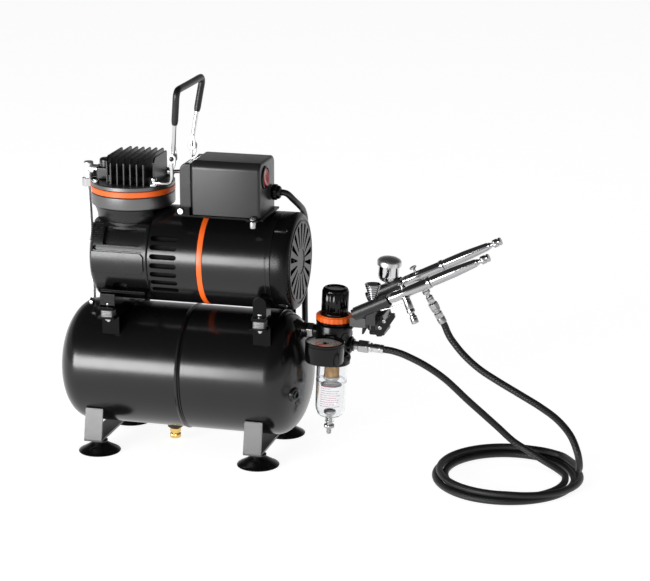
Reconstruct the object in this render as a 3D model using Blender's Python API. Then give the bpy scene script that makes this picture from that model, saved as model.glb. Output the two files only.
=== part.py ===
"""Airbrush compressor: oil-free pump on a small air tank, with regulator, hose and two airbrushes.

Every size below is in millimetres; MM turns it into the metres of the Blender scene.
X runs along the tank (+X is the fan and regulator end), -Y is the front, Z = 0 is the floor.
"""
import math

import bmesh
import bpy
from mathutils import Matrix, Vector

MM = 0.001
CENTRE_X = 91.35               # middle of the length without hose and lead, where the origin goes
GAP = 0.3                      # clearance between neighbouring solids

# tank
TANK_RADIUS = 63.0
TANK_AXIS_Z = 83.0
TANK_LEFT = -132.0             # tips of the two domes
TANK_RIGHT = 125.0
DOME_DEPTH = 32.0
DOME_POWER = 2.3
TANK_WALL = 2.0
DRAIN_X = -19.2
OUTLET_Z = 130.0

# feet and leg straps
FOOT_X = 84.3
FOOT_Y = 49.2
FOOT_RADIUS = 21.5
FOOT_TOP = 11.7
STRAP_OFFSET = -3.6            # strap centre from foot centre along X
STRAP_WIDTH = 18.5
STRAP_THICK = 2.4

# motor mounts
MOUNT_Y = 53.0
MOUNT_X = {"left": -69.5, "right": 88.5}
MOUNT_RADIUS = 8.3
RAIL_Z = 145.8                 # top of the tank brackets' arms
LUG_Z = 152.9                  # underside of the motor's lugs

# pump and motor, all on one axis along X
MOTOR_Z = 200.8
MOTOR_RADIUS = 49.0
CRANKCASE_X = (-92.5, -30.0)
HOUSING_X = (-29.7, 97.0)
COVER_X = (97.3, 115.7)
CRANKCASE_TOP = 237.0
HEAD_X = -59.0
HEAD_RADIUS = 42.3
BORE_RADIUS = 22.5
CRANK_THROW = 5.0
FIN_COUNT = 8
FIN_PITCH = 6.85
FIN_CENTRE_X = -54.3

# handle
PIVOT = Vector((-6.1, 30.9, 305.5))
GRIP_TOP = Vector((2.4, 41.0, 375.0))

# switch box
BOX_X = (15.7, 86.0)
BOX_Y = (-42.0, 12.0)
BOX_Z = (252.7, 306.2)
ROCKER_AT = Vector((86.0, -23.5, 290.0))
ROCKER_TILT = 8.0
GLAND_AT = Vector((86.0, 2.5, 269.5))

# regulator: a stack of turned pieces on one slightly leaning axis
REGULATOR_AT = Vector((150.6, 0.0, 148.0))
REGULATOR_LEAN = 2.7
REGULATOR_AXIS = Vector((math.sin(math.radians(REGULATOR_LEAN)), 0, math.cos(math.radians(REGULATOR_LEAN))))
GAUGE_OFFSET = Vector((1.2, -39.6))

# airbrushes
BRUSH_PITCH = 26.5             # climb of both airbrushes
BRUSH_AXIS = Vector((math.cos(math.radians(BRUSH_PITCH)), 0, math.sin(math.radians(BRUSH_PITCH))))
FRONT_TIP = Vector((175.2, -25.0, 157.0))
REAR_TIP = FRONT_TIP + Vector((2.5, 50.0, 4.0))
CUP_LEAN = Vector((math.sin(math.radians(5)), 0, math.cos(math.radians(5))))
TRIGGER_AT = 58.0              # distance of trigger and air valve from the tip
FRONT_ROLL = -15.0
REAR_ROLL = 10.0
VALVE_LENGTH = 32.0
HOSE_END_LENGTH = 56.0         # from the rear airbrush's axis to the hose
SLEEVE_PIVOT = Vector((195.5, -19.0, 149.5))

# hose and mains lead
HOSE_DIAMETER = 7.0
LEAD_DIAMETER = 6.4
HOSE_COIL_AT = Vector((334.0, -27.0, 0.0))
HOSE_COIL_RADIUS = 67.8
MAINS_COIL_AT = Vector((-28.0, 128.0, 0.0))
MAINS_COIL_RADIUS = 35.0
REGULATOR_HOSE_END = Vector((201.6, 0.0, 115.6))
REGULATOR_HOSE_AXIS = Vector((0.9972, 0, -0.0745))

# colour, roughness and metallic value of each material
LOOKS = {
    "gloss_black": ((0.012, 0.012, 0.013), 0.18, 0.3),
    "satin_black": ((0.03, 0.03, 0.032), 0.42, 0.2),
    "black_plastic": ((0.018, 0.018, 0.019), 0.45, 0.0),
    "rubber": ((0.015, 0.015, 0.015), 0.7, 0.0),
    "grey_rubber": ((0.22, 0.22, 0.22), 0.65, 0.0),
    "orange": ((0.85, 0.16, 0.02), 0.35, 0.0),
    "chrome": ((0.78, 0.78, 0.8), 0.12, 1.0),
    "steel": ((0.5, 0.5, 0.5), 0.35, 1.0),
    "brass": ((0.75, 0.55, 0.22), 0.25, 1.0),
    "red_lens": ((0.6, 0.01, 0.03), 0.15, 0.0),
    "clear": ((0.85, 0.88, 0.9), 0.05, 0.0),
    "filter": ((0.55, 0.38, 0.18), 0.9, 0.0),
    "braid": ((0.02, 0.02, 0.02), 0.75, 0.0),
}


def clear_scene():
    for old in list(bpy.data.objects):
        bpy.data.objects.remove(old, do_unlink=True)


def material(look):
    found = bpy.data.materials.get(look)
    if found:
        return found
    colour, roughness, metallic = LOOKS[look]
    made = bpy.data.materials.new(look)
    made.use_nodes = True
    shader = made.node_tree.nodes["Principled BSDF"]
    shader.inputs["Base Color"].default_value = (*colour, 1)
    shader.inputs["Roughness"].default_value = roughness
    shader.inputs["Metallic"].default_value = metallic
    return made


def aimed(axis):
    """Rotation that turns local Z onto axis."""
    return Vector((0, 0, 1)).rotation_difference(Vector(axis)).to_matrix().to_4x4()


def finish_mesh(name, bm, look, at=(0, 0, 0), axis=(0, 0, 1)):
    bmesh.ops.recalc_face_normals(bm, faces=bm.faces)
    bmesh.ops.scale(bm, vec=(MM, MM, MM), verts=bm.verts)
    mesh = bpy.data.meshes.new(name)
    bm.to_mesh(mesh)
    bm.free()
    mesh.shade_smooth()
    mesh.set_sharp_from_angle(angle=math.radians(35))
    mesh.materials.append(material(look))
    piece = bpy.data.objects.new(name, mesh)
    piece.matrix_world = Matrix.Translation(Vector(at) * MM) @ aimed(axis)
    bpy.context.collection.objects.link(piece)
    return piece


def turned(name, outline, look, at=(0, 0, 0), axis=(0, 0, 1), segments=32):
    """Solid of revolution about axis; outline is (radius, height) from axis to axis, or a loop."""
    bm = bmesh.new()
    rings = []
    for radius, height in outline:
        if radius < 1e-6:
            rings.append([bm.verts.new((0, 0, height))])
            continue
        turns = [2 * math.pi * step / segments for step in range(segments)]
        rings.append([bm.verts.new((radius * math.cos(t), radius * math.sin(t), height)) for t in turns])
    pairs = list(zip(rings, rings[1:]))
    if len(rings[0]) > 1:
        pairs.append((rings[-1], rings[0]))
    for lower, upper in pairs:
        for step in range(segments):
            after = (step + 1) % segments
            corners = [lower[step % len(lower)], lower[after % len(lower)],
                       upper[after % len(upper)], upper[step % len(upper)]]
            bm.faces.new(list(dict.fromkeys(corners)))
    return finish_mesh(name, bm, look, at, axis)


def prism(name, outline, low, high, along, look, at=(0, 0, 0)):
    """Outline extruded from low to high along X (outline in Y, Z), Y (in X, Z) or Z (in X, Y)."""
    places = {"X": lambda a, b, h: (h, a, b), "Y": lambda a, b, h: (a, h, b), "Z": lambda a, b, h: (a, b, h)}
    put = places[along]
    bm = bmesh.new()
    start = [bm.verts.new(put(a, b, low)) for a, b in outline]
    end = [bm.verts.new(put(a, b, high)) for a, b in outline]
    bm.faces.new(start)
    bm.faces.new(end)
    for step in range(len(outline)):
        after = (step + 1) % len(outline)
        bm.faces.new((start[step], start[after], end[after], end[step]))
    return finish_mesh(name, bm, look, at)


def block(name, low, high, look, at=(0, 0, 0), bevel=0.0):
    outline = [(low[0], low[1]), (high[0], low[1]), (high[0], high[1]), (low[0], high[1])]
    piece = prism(name, outline, low[2], high[2], "Z", look, at)
    if bevel:
        rounding = piece.modifiers.new("rounding", "BEVEL")
        rounding.width = bevel * MM
        rounding.segments = 2
    return piece


def combine(piece, tool, operation="DIFFERENCE"):
    """Boolean of piece with a hidden tool."""
    step = piece.modifiers.new(operation.lower(), "BOOLEAN")
    step.operation = operation
    step.solver = "EXACT"
    step.object = tool
    tool.hide_render = True
    tool.display_type = "WIRE"
    return piece


def arc(centre, radius, start, end, steps):
    """Points on an arc, angles in degrees."""
    angles = [math.radians(start + (end - start) * step / steps) for step in range(steps + 1)]
    return [(centre[0] + radius * math.cos(a), centre[1] + radius * math.sin(a)) for a in angles]


def set_origin(piece, point):
    """Move a piece's origin to point and leave the piece where it is."""
    shift = piece.matrix_world.inverted() @ (Vector(point) * MM)
    piece.data.transform(Matrix.Translation(-shift))
    piece.matrix_world = piece.matrix_world @ Matrix.Translation(shift)


def around_axis(piece, count):
    """Repeat a piece's mesh count times around its local X axis."""
    bm = bmesh.new()
    for index in range(count):
        start = len(bm.verts)
        bm.from_mesh(piece.data)
        bm.verts.ensure_lookup_table()
        bmesh.ops.rotate(bm, cent=(0, 0, 0), matrix=Matrix.Rotation(2 * math.pi * index / count, 3, "X"),
                         verts=bm.verts[start:])
    bm.to_mesh(piece.data)
    bm.free()


def bent_strip(path, thickness):
    """Outline of a strip of sheet along path, on its left side."""
    other = []
    for index, point in enumerate(path):
        before = Vector(path[max(index - 1, 0)])
        after = Vector(path[min(index + 1, len(path) - 1)])
        here = Vector(point)
        incoming = (here - before).normalized() if index else (after - here).normalized()
        outgoing = (after - here).normalized() if index < len(path) - 1 else incoming
        normal = Vector((-incoming.y - outgoing.y, incoming.x + outgoing.x)).normalized()
        stretch = max(0.4, normal.dot(Vector((-incoming.y, incoming.x))))
        other.append(tuple(here + normal * thickness / stretch))
    return list(path) + other[::-1]


def smooth_path(route, spacing):
    """Evenly spaced points on a smooth curve through the route's points."""
    points = [Vector(p) for p in route]
    points = [2 * points[0] - points[1]] + points + [2 * points[-1] - points[-2]]
    dense = []
    for a, b, c, d in zip(points, points[1:], points[2:], points[3:]):
        for step in range(16):
            t = step / 16
            dense.append(0.5 * (2 * b + (c - a) * t + (2 * a - 5 * b + 4 * c - d) * t ** 2
                                + (3 * b - a - 3 * c + d) * t ** 3))
    dense.append(points[-2])
    lengths = [0.0]
    for a, b in zip(dense, dense[1:]):
        lengths.append(lengths[-1] + (b - a).length)
    count = max(2, round(lengths[-1] / spacing))
    even = []
    index = 0
    for step in range(count + 1):
        target = lengths[-1] * step / count
        while index < len(lengths) - 2 and lengths[index + 1] < target:
            index += 1
        share = (target - lengths[index]) / (lengths[index + 1] - lengths[index])
        even.append(dense[index].lerp(dense[index + 1], share))
    return even


def lead_in(start, axis, route, spacing):
    """Path that leaves start straight along axis, then follows the route."""
    first = Vector(start) + Vector(axis) * 3
    return [Vector(start)] + smooth_path([first] + [Vector(p) for p in route], spacing)


def rod(name, path, diameter, look, resolution=2):
    """Round rod, tube or cord along path, as a bevelled curve with filled ends."""
    curve = bpy.data.curves.new(name, "CURVE")
    curve.dimensions = "3D"
    curve.bevel_depth = diameter / 2 * MM
    curve.bevel_resolution = resolution
    curve.use_fill_caps = True
    spline = curve.splines.new("POLY")
    spline.points.add(len(path) - 1)
    for point, place in zip(spline.points, path):
        point.co = (*(Vector(place) * MM), 1)
    curve.materials.append(material(look))
    piece = bpy.data.objects.new(name, curve)
    bpy.context.collection.objects.link(piece)
    return piece


def sleeve_along(name, path, outer, inner, look, sides=12):
    """Hollow round sleeve along path."""
    bm = bmesh.new()
    tangents = [(path[min(i + 1, len(path) - 1)] - path[max(i - 1, 0)]).normalized() for i in range(len(path))]
    side = tangents[0].cross(Vector((1, 0, 0))).normalized()
    shells = {outer: [], inner: []}
    for place, tangent in zip(path, tangents):
        side = (side - tangent * side.dot(tangent)).normalized()
        up = tangent.cross(side)
        for radius, rings in shells.items():
            turns = [2 * math.pi * step / sides for step in range(sides)]
            rings.append([bm.verts.new(place + (side * math.cos(t) + up * math.sin(t)) * radius) for t in turns])
    for rings in shells.values():
        for first, second in zip(rings, rings[1:]):
            for step in range(sides):
                after = (step + 1) % sides
                bm.faces.new((first[step], first[after], second[after], second[step]))
    for end in (0, -1):
        for step in range(sides):
            after = (step + 1) % sides
            bm.faces.new((shells[outer][end][step], shells[outer][end][after],
                          shells[inner][end][after], shells[inner][end][step]))
    return finish_mesh(name, bm, look)


# ---------------------------------------------------------------- tank and legs

def dome_points(depth, radius, steps):
    """Quarter outline of a pressed dome: (radius, height above the shoulder)."""
    points = []
    for step in range(steps + 1):
        r = radius * math.cos(math.pi / 2 * step / steps)
        points.append((r, depth * (1 - (r / radius) ** DOME_POWER) ** (1 / DOME_POWER)))
    return points


def make_tank():
    left, right = TANK_LEFT + DOME_DEPTH, TANK_RIGHT - DOME_DEPTH
    upper = [(r, right + h) for r, h in dome_points(DOME_DEPTH, TANK_RADIUS, 7)]
    lower = [(r, left - h) for r, h in dome_points(DOME_DEPTH, TANK_RADIUS, 7)]
    seam_x = 5.0
    seam = [(TANK_RADIUS, seam_x - 2), (TANK_RADIUS + 0.5, seam_x), (TANK_RADIUS, seam_x + 2)]
    outline = lower[::-1] + seam + upper
    tank = turned("tank_shell", outline, "gloss_black", (0, 0, TANK_AXIS_Z), (1, 0, 0), 36)
    inner_radius, inner_depth = TANK_RADIUS - TANK_WALL, DOME_DEPTH - TANK_WALL
    upper = [(r, right + h) for r, h in dome_points(inner_depth, inner_radius, 4)]
    lower = [(r, left - h) for r, h in dome_points(inner_depth, inner_radius, 4)]
    hollow = turned("cut_tank_hollow", lower[::-1] + upper, "gloss_black", (0, 0, TANK_AXIS_Z), (1, 0, 0), 24)
    outlet = turned("add_outlet_boss", [(0, 0), (7.5, 0), (7.5, 17.5), (0, 17.5)], "gloss_black",
                    (104, 0, OUTLET_Z), (1, 0, 0), 20)
    drain = turned("add_drain_boss", [(0, 0), (8, 0), (8, 7), (0, 7)], "gloss_black",
                   (DRAIN_X, 0, 14.5), (0, 0, 1), 20)
    outlet_bore = turned("cut_outlet_bore", [(0, 0), (3, 0), (3, 30), (0, 30)], "gloss_black",
                         (100, 0, OUTLET_Z), (1, 0, 0), 12)
    drain_bore = turned("cut_drain_bore", [(0, 0), (3, 0), (3, 20), (0, 20)], "gloss_black",
                        (DRAIN_X, 0, 10), (0, 0, 1), 12)
    combine(tank, outlet, "UNION")
    combine(tank, drain, "UNION")
    for cutter in (hollow, outlet_bore, drain_bore):
        combine(tank, cutter)
    outline = [(0, 0), (5.2, 0), (5.6, 0.8), (5.6, 3.6), (4.6, 4.2), (4.6, 6.4), (5.6, 7), (5.6, 10.4),
               (2.6, 11), (2.6, 15), (0, 15)]
    turned("drain_cock", outline, "brass", (DRAIN_X, 0, 3.4), (0, 0, 1), 20)


def make_legs():
    half, top = FOOT_Y + 11.3, 46.0
    low = FOOT_TOP + GAP
    lean = 8.0
    tank_side = math.sqrt(TANK_RADIUS ** 2 - (TANK_AXIS_Z - top) ** 2) + 0.6
    path = [(-tank_side, top), (-half + lean, top), (-half, low), (half, low), (half - lean, top), (tank_side, top)]
    outline = bent_strip(path, STRAP_THICK)
    foot = [(0, 4.5), (14, 3.4), (16.5, 0), (FOOT_RADIUS, 0), (FOOT_RADIUS - 0.2, 1.2), (13.5, 6.8),
            (8.6, 8.8), (8, FOOT_TOP), (0, FOOT_TOP)]
    for side, name in ((-1, "left"), (1, "right")):
        centre = side * FOOT_X + STRAP_OFFSET
        prism("leg_strap_" + name, outline, centre - STRAP_WIDTH / 2, centre + STRAP_WIDTH / 2, "X", "satin_black")
        for end, row in ((-1, "front"), (1, "rear")):
            turned("foot_%s_%s" % (row, name), foot, "rubber", (side * FOOT_X, end * FOOT_Y, 0), (0, 0, 1), 20)


def make_mounts():
    """Two pressed brackets over the tank and four rubber mounts on their arms."""
    saddle_radius = TANK_RADIUS + GAP
    reach = 47.5
    start = math.degrees(math.acos(-reach / saddle_radius))
    over = arc((0, TANK_AXIS_Z), saddle_radius, start, 180 - start, 14)
    thick = 1.8
    path = [(-62, RAIL_Z - thick), (-reach, RAIL_Z - thick)] + over + [(reach, RAIL_Z - thick), (62, RAIL_Z - thick)]
    outline = bent_strip(path, thick)
    rubber = [(0, 0), (MOUNT_RADIUS, 0), (MOUNT_RADIUS, LUG_Z - RAIL_Z - 2 * GAP), (0, LUG_Z - RAIL_Z - 2 * GAP)]
    for name, x in MOUNT_X.items():
        prism("tank_bracket_" + name, outline, x - 9, x + 9, "X", "satin_black")
        for end, row in ((-1, "front"), (1, "rear")):
            turned("rubber_mount_%s_%s" % (row, name), rubber, "grey_rubber",
                   (x, end * MOUNT_Y, RAIL_Z + GAP), (0, 0, 1), 20)


# ---------------------------------------------------------------- pump and motor

def motor_lugs(name, x):
    """Flat feet that reach out to the rubber mounts on both sides."""
    return block(name, (x - 8.5, -61.5, LUG_Z), (x + 8.4, 61.5, LUG_Z + 3.7), "gloss_black")


def make_crankcase():
    left, right = CRANKCASE_X
    on_axis = (0, 0, MOTOR_Z)
    outline = [(0, left), (40, left), (47, left + 1.6), (MOTOR_RADIUS, left + 5), (MOTOR_RADIUS, right), (0, right)]
    case = turned("crankcase", outline, "gloss_black", on_axis, (1, 0, 0), 36)
    combine(case, block("cut_case_top", (left - 10, -70, CRANKCASE_TOP), (right + 10, 70, 270), "gloss_black"))
    combine(case, motor_lugs("add_case_lugs", MOUNT_X["left"]), "UNION")
    hollow = turned("cut_case_hollow", [(0, left + 4), (44.5, left + 4), (44.5, right + 5), (0, right + 5)],
                    "gloss_black", on_axis, (1, 0, 0), 32)
    combine(hollow, block("cut_roof", (left, -50, CRANKCASE_TOP - 4), (right + 10, 50, 260), "gloss_black"))
    combine(case, hollow)
    bore = turned("cut_case_bore", [(0, 0), (27, 0), (27, 30), (0, 30)], "gloss_black",
                  (HEAD_X, 0, CRANKCASE_TOP - 15), (0, 0, 1), 32)
    combine(case, bore)


def make_motor_housing():
    left, right = HOUSING_X
    on_axis = (0, 0, MOTOR_Z)
    outline = [(46.4, left), (MOTOR_RADIUS, left), (MOTOR_RADIUS, right), (5, right), (5, right - 4), (46.4, right - 4)]
    housing = turned("motor_housing", outline, "gloss_black", on_axis, (1, 0, 0), 40)
    lugs = motor_lugs("add_housing_lugs", MOUNT_X["right"])
    trim = turned("cut_lug_middle", [(0, -40), (46.4, -40), (46.4, 20), (0, 20)], "gloss_black",
                  (right - 24, 0, MOTOR_Z), (1, 0, 0), 40)
    combine(lugs, trim)
    combine(housing, lugs, "UNION")
    slot_left, slot_right, slot_half = -27.0, 1.0, 2.6
    for index in range(7):
        angle = math.radians(-1.6 + 10.75 * (index - 3))
        direction = Vector((0, -math.cos(angle), math.sin(angle)))
        ends = arc((slot_right - slot_half, 0), slot_half, -90, 90, 4)
        ends += arc((slot_left + slot_half, 0), slot_half, 90, 270, 4)
        slot = prism("cut_slot_%d" % index, ends, 40, 60, "Z", "gloss_black")
        facing = Matrix.Rotation(math.pi / 2 - angle, 4, "X")
        slot.matrix_world = Matrix.Translation(Vector(on_axis) * MM) @ facing
        if (facing @ Vector((0, 0, 1))).dot(direction) < 0.99:
            slot.matrix_world = Matrix.Translation(Vector(on_axis) * MM) @ Matrix.Rotation(math.pi, 4, "X") @ facing
        combine(housing, slot)


def make_fan_cover():
    left, right = COVER_X
    outline = [(0, right), (46, right), (47.5, right - 0.8), (MOTOR_RADIUS, right - 3), (MOTOR_RADIUS, left),
               (47.2, left), (47.2, right - 3), (46, right - 2), (0, right - 2)]
    cover = turned("fan_cover", outline, "black_plastic", (0, 0, MOTOR_Z), (1, 0, 0), 28)
    vent_count = 18
    inner, outer = 14.5, 37.6
    wedge = [(inner, -0.9), (outer, -3.2), (outer + 1.2, 0), (outer, 3.2), (inner, 0.9)]
    vents = prism("cut_vents", wedge, right - 8, right + 5, "X", "black_plastic")
    vents.matrix_world = Matrix.Translation((0, 0, MOTOR_Z * MM))
    around_axis(vents, vent_count)
    combine(cover, vents)


def make_motor_insides():
    on_axis = (0, 0, MOTOR_Z)
    stator = [(29.5, 12), (45.8, 12), (45.8, 66), (29.5, 66)]
    turned("stator", stator, "steel", on_axis, (1, 0, 0), 24)
    shaft = [(0, -64), (5, -64), (5, 8), (28, 8.6), (28, 69), (5, 69.6), (4, 84), (4, 109), (0, 109)]
    rotor = turned("rotor_shaft", shaft, "steel", on_axis, (1, 0, 0), 18)
    journal = turned("add_journal", [(0, -64.5), (6.5, -64.5), (6.5, -52), (0, -52)], "steel",
                     (0, 0, MOTOR_Z + CRANK_THROW), (1, 0, 0), 14)
    weight = turned("add_counterweight", [(0, -50), (15, -50), (15, -43), (0, -43)], "steel",
                    (0, 0, MOTOR_Z - 9), (1, 0, 0), 16)
    combine(rotor, journal, "UNION")
    combine(rotor, weight, "UNION")
    hub = turned("cooling_fan", [(4.4, 98.6), (10, 98.6), (10, 110), (4.4, 110)], "black_plastic",
                 on_axis, (1, 0, 0), 20)
    blade_count = 7
    for index in range(blade_count):
        blade = block("add_blade_%d" % index, (99.5, -1, 8), (109, 1, 42), "black_plastic", on_axis)
        blade.matrix_world = (Matrix.Translation(Vector(on_axis) * MM)
                              @ Matrix.Rotation(2 * math.pi * index / blade_count, 4, "X"))
        combine(hub, blade, "UNION")


def make_pump():
    crown = [(0, 253), (BORE_RADIUS - 0.5, 253), (BORE_RADIUS - 0.5, 262), (0, 262)]
    piston = turned("piston_rod", crown, "steel", (HEAD_X, 0, 0), (0, 0, 1), 24)
    combine(piston, block("add_rod", (-4, -6, 218), (4, 6, 255), "steel", (HEAD_X, 0, 0)), "UNION")
    big_end = turned("add_big_end", [(17.2, -4), (20.6, -4), (20.6, 4), (17.2, 4)], "steel",
                     (HEAD_X, 0, MOTOR_Z), (1, 0, 0), 24)
    combine(piston, big_end, "UNION")
    low = CRANKCASE_TOP + GAP
    barrel = [(BORE_RADIUS, low), (36, low), (36.5, 243), (39.5, 251.2), (HEAD_RADIUS, 252), (HEAD_RADIUS, 264.2),
              (BORE_RADIUS, 264.2)]
    cylinder = turned("cylinder", barrel, "satin_black", (HEAD_X, 0, 0), (0, 0, 1), 32)
    case_edge = block("cut_overhang", (-120, -60, low - 5), (CRANKCASE_X[0] + 0.5, 60, 243), "satin_black")
    combine(cylinder, case_edge)
    combine(cylinder, block("cut_over_motor", (-30, -60, 230), (0, 60, 250.3), "satin_black"))
    ring = [(24.5, 264.5), (HEAD_RADIUS + 0.3, 264.5), (HEAD_RADIUS + 0.3, 270.3), (24.5, 270.3)]
    turned("head_gasket_ring", ring, "orange", (HEAD_X, 0, 0), (0, 0, 1), 32)
    plate = [(0, 270.6), (HEAD_RADIUS, 270.6), (HEAD_RADIUS, 275.2), (0, 275.2)]
    head = turned("cylinder_head", plate, "satin_black", (HEAD_X, 0, 0), (0, 0, 1), 32)
    for index in range(FIN_COUNT):
        x = FIN_CENTRE_X + FIN_PITCH * (index - (FIN_COUNT - 1) / 2)
        half = {0: 23.5, FIN_COUNT - 1: 20.5}.get(index, 31.5)
        outline = [(-half, 274), (half, 274), (half, 302), (5 - half, 302), (-half, 297)]
        combine(head, prism("add_fin_%d" % index, outline, x - 1, x + 1, "X", "satin_black"), "UNION")
    combine(head, block("add_port_block", (-95, -17, 274), (-77, 6, 288), "satin_black"), "UNION")
    elbow = smooth_path([(-96.4, -6, 281.6), (-100, -6, 281.6), (-104.4, -5.6, 278.6), (-105.8, -4.6, 270),
                         (-105.4, -2, 240), (-105, 0, 190), (-105, 0, 147.5)], 9)
    pipe = rod("air_pipe", elbow, 5.0, "chrome")
    nut = turned("add_pipe_nut", [(0, 0), (5.6, 0), (5.6, 17), (0, 17)], "chrome", (-103.5, -5.5, 275.8), (0, 0, 1), 12)
    mesh_pipe = as_mesh(pipe)
    combine(mesh_pipe, nut, "UNION")


def as_mesh(piece):
    """The curve piece as a mesh object of the same name."""
    shape = bpy.data.meshes.new_from_object(piece)
    name = piece.name
    bpy.data.objects.remove(piece, do_unlink=True)
    made = bpy.data.objects.new(name, shape)
    bpy.context.collection.objects.link(made)
    return made


# ---------------------------------------------------------------- handle and switch box

def make_handle():
    eye_y = PIVOT.y - 1.2
    for side, name in ((-1, "front"), (1, "rear")):
        route = [(-28.5, side * 25.5, 278.2), (-17, side * 28, 279), (-9.5, side * 31.5, 280.5),
                 (-6.4, side * 34.3, 286), (-6.1, side * 34.7, 294), (-6.1, side * 34.7, 302)]
        bracket = as_mesh(rod("handle_bracket_" + name, smooth_path(route, 5), 4.0, "chrome", 1))
        lug = turned("add_lug_" + name, [(0, 0), (3.8, 0), (3.8, 4.4), (0, 4.4)], "chrome",
                     (-28.5, side * 25.5, 275.5), (0, 0, 1), 12)
        plate = turned("add_plate_" + name, [(0, -1.1), (5.2, -1.1), (5.2, 1.1), (0, 1.1)], "chrome",
                       (PIVOT.x, side * 33.9, PIVOT.z), (0, 1, 0), 16)
        combine(bracket, lug, "UNION")
        combine(bracket, plate, "UNION")
    leg = [(PIVOT.x, -eye_y, PIVOT.z), (-5.5, -30.2, 312), (-3.6, -33, 328), (0.4, -38.6, 358)]
    corner = [(1.9, -GRIP_TOP.y + 0.4, 369), (2.3, -GRIP_TOP.y + 2.6, 373.6), (GRIP_TOP.x, -GRIP_TOP.y + 7, GRIP_TOP.z)]
    half = leg + corner + [(GRIP_TOP.x, -12, GRIP_TOP.z)]
    route = half + [(x, -y, z) for x, y, z in reversed(half)]
    path = smooth_path(route, 7.5)
    handle = as_mesh(rod("handle_rod", path, 4.2, "chrome", 1))
    for side, name in ((-1, "front"), (1, "rear")):
        eye = turned("add_eye_" + name, [(0, -1.1), (5, -1.1), (5, 1.1), (0, 1.1)], "chrome",
                     (PIVOT.x, side * (eye_y - 0.3), PIVOT.z), (0, 1, 0), 16)
        combine(handle, eye, "UNION")
    gripped = [p for p in path if p.z > 338]
    grip = sleeve_along("handle_grip", gripped, 3.4, 2.6, "rubber", 8)
    for piece in (handle, grip):
        set_origin(piece, (PIVOT.x, 0, PIVOT.z))


def make_switch_box():
    base = block("switch_box_base", (-2, -44, 250.1), (90, 14, 252.4), "satin_black")
    step = [(3, 251), (15.4, 251), (15.4, 303), (9, 303), (5, 300), (3, 295)]
    combine(base, prism("add_step", step, -39, 9, "Y", "satin_black"), "UNION")
    radius, wall = 8.0, 2.0
    (y0, y1), (z0, z1) = BOX_Y, BOX_Z
    arch = [(y0, z0), (y1, z0)] + arc((y1 - radius, z1 - radius), radius, 0, 90, 5)
    arch += arc((y0 + radius, z1 - radius), radius, 90, 180, 5)
    cover = prism("switch_box_cover", arch, BOX_X[0], BOX_X[1], "X", "satin_black")
    inside = [(y0 + wall, z0 - 5), (y1 - wall, z0 - 5)] + arc((y1 - radius, z1 - radius), radius - wall, 0, 90, 5)
    inside += arc((y0 + radius, z1 - radius), radius - wall, 90, 180, 5)
    combine(cover, prism("cut_box_inside", inside, BOX_X[0] + wall, BOX_X[1] - wall, "X", "satin_black"))
    combine(cover, turned("cut_rocker_hole", [(0, -6), (10.4, -6), (10.4, 6), (0, 6)], "satin_black",
                          ROCKER_AT, (1, 0, 0), 28))
    combine(cover, turned("cut_gland_hole", [(0, -6), (3.6, -6), (3.6, 6), (0, 6)], "satin_black",
                          GLAND_AT, (1, 0, 0), 16))
    tilt = math.radians(ROCKER_TILT)
    rocker = [(0, -3.5), (9.3, -3.5), (9.3, 2.6), (8.6, 3.4), (0, 2.4)]
    turned("rocker_switch", rocker, "red_lens", ROCKER_AT - Vector((1, 0, 0)),
           (math.cos(tilt), 0, math.sin(tilt)), 28)
    gland = [(0, GAP), (8, GAP), (8, 3), (6.6, 3.4), (6.6, 8.6), (4.4, 9.2), (0, 9.2)]
    turned("cord_gland", gland, "black_plastic", GLAND_AT, (1, 0, 0), 20)


# ---------------------------------------------------------------- regulator

def on_regulator(height, across=0.0, along_y=0.0):
    """Point at a height on the regulator's leaning axis, moved sideways if asked."""
    sideways = Vector((REGULATOR_AXIS.z, 0, -REGULATOR_AXIS.x))
    return REGULATOR_AT + REGULATOR_AXIS * height + sideways * across + Vector((0, along_y, 0))


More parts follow.
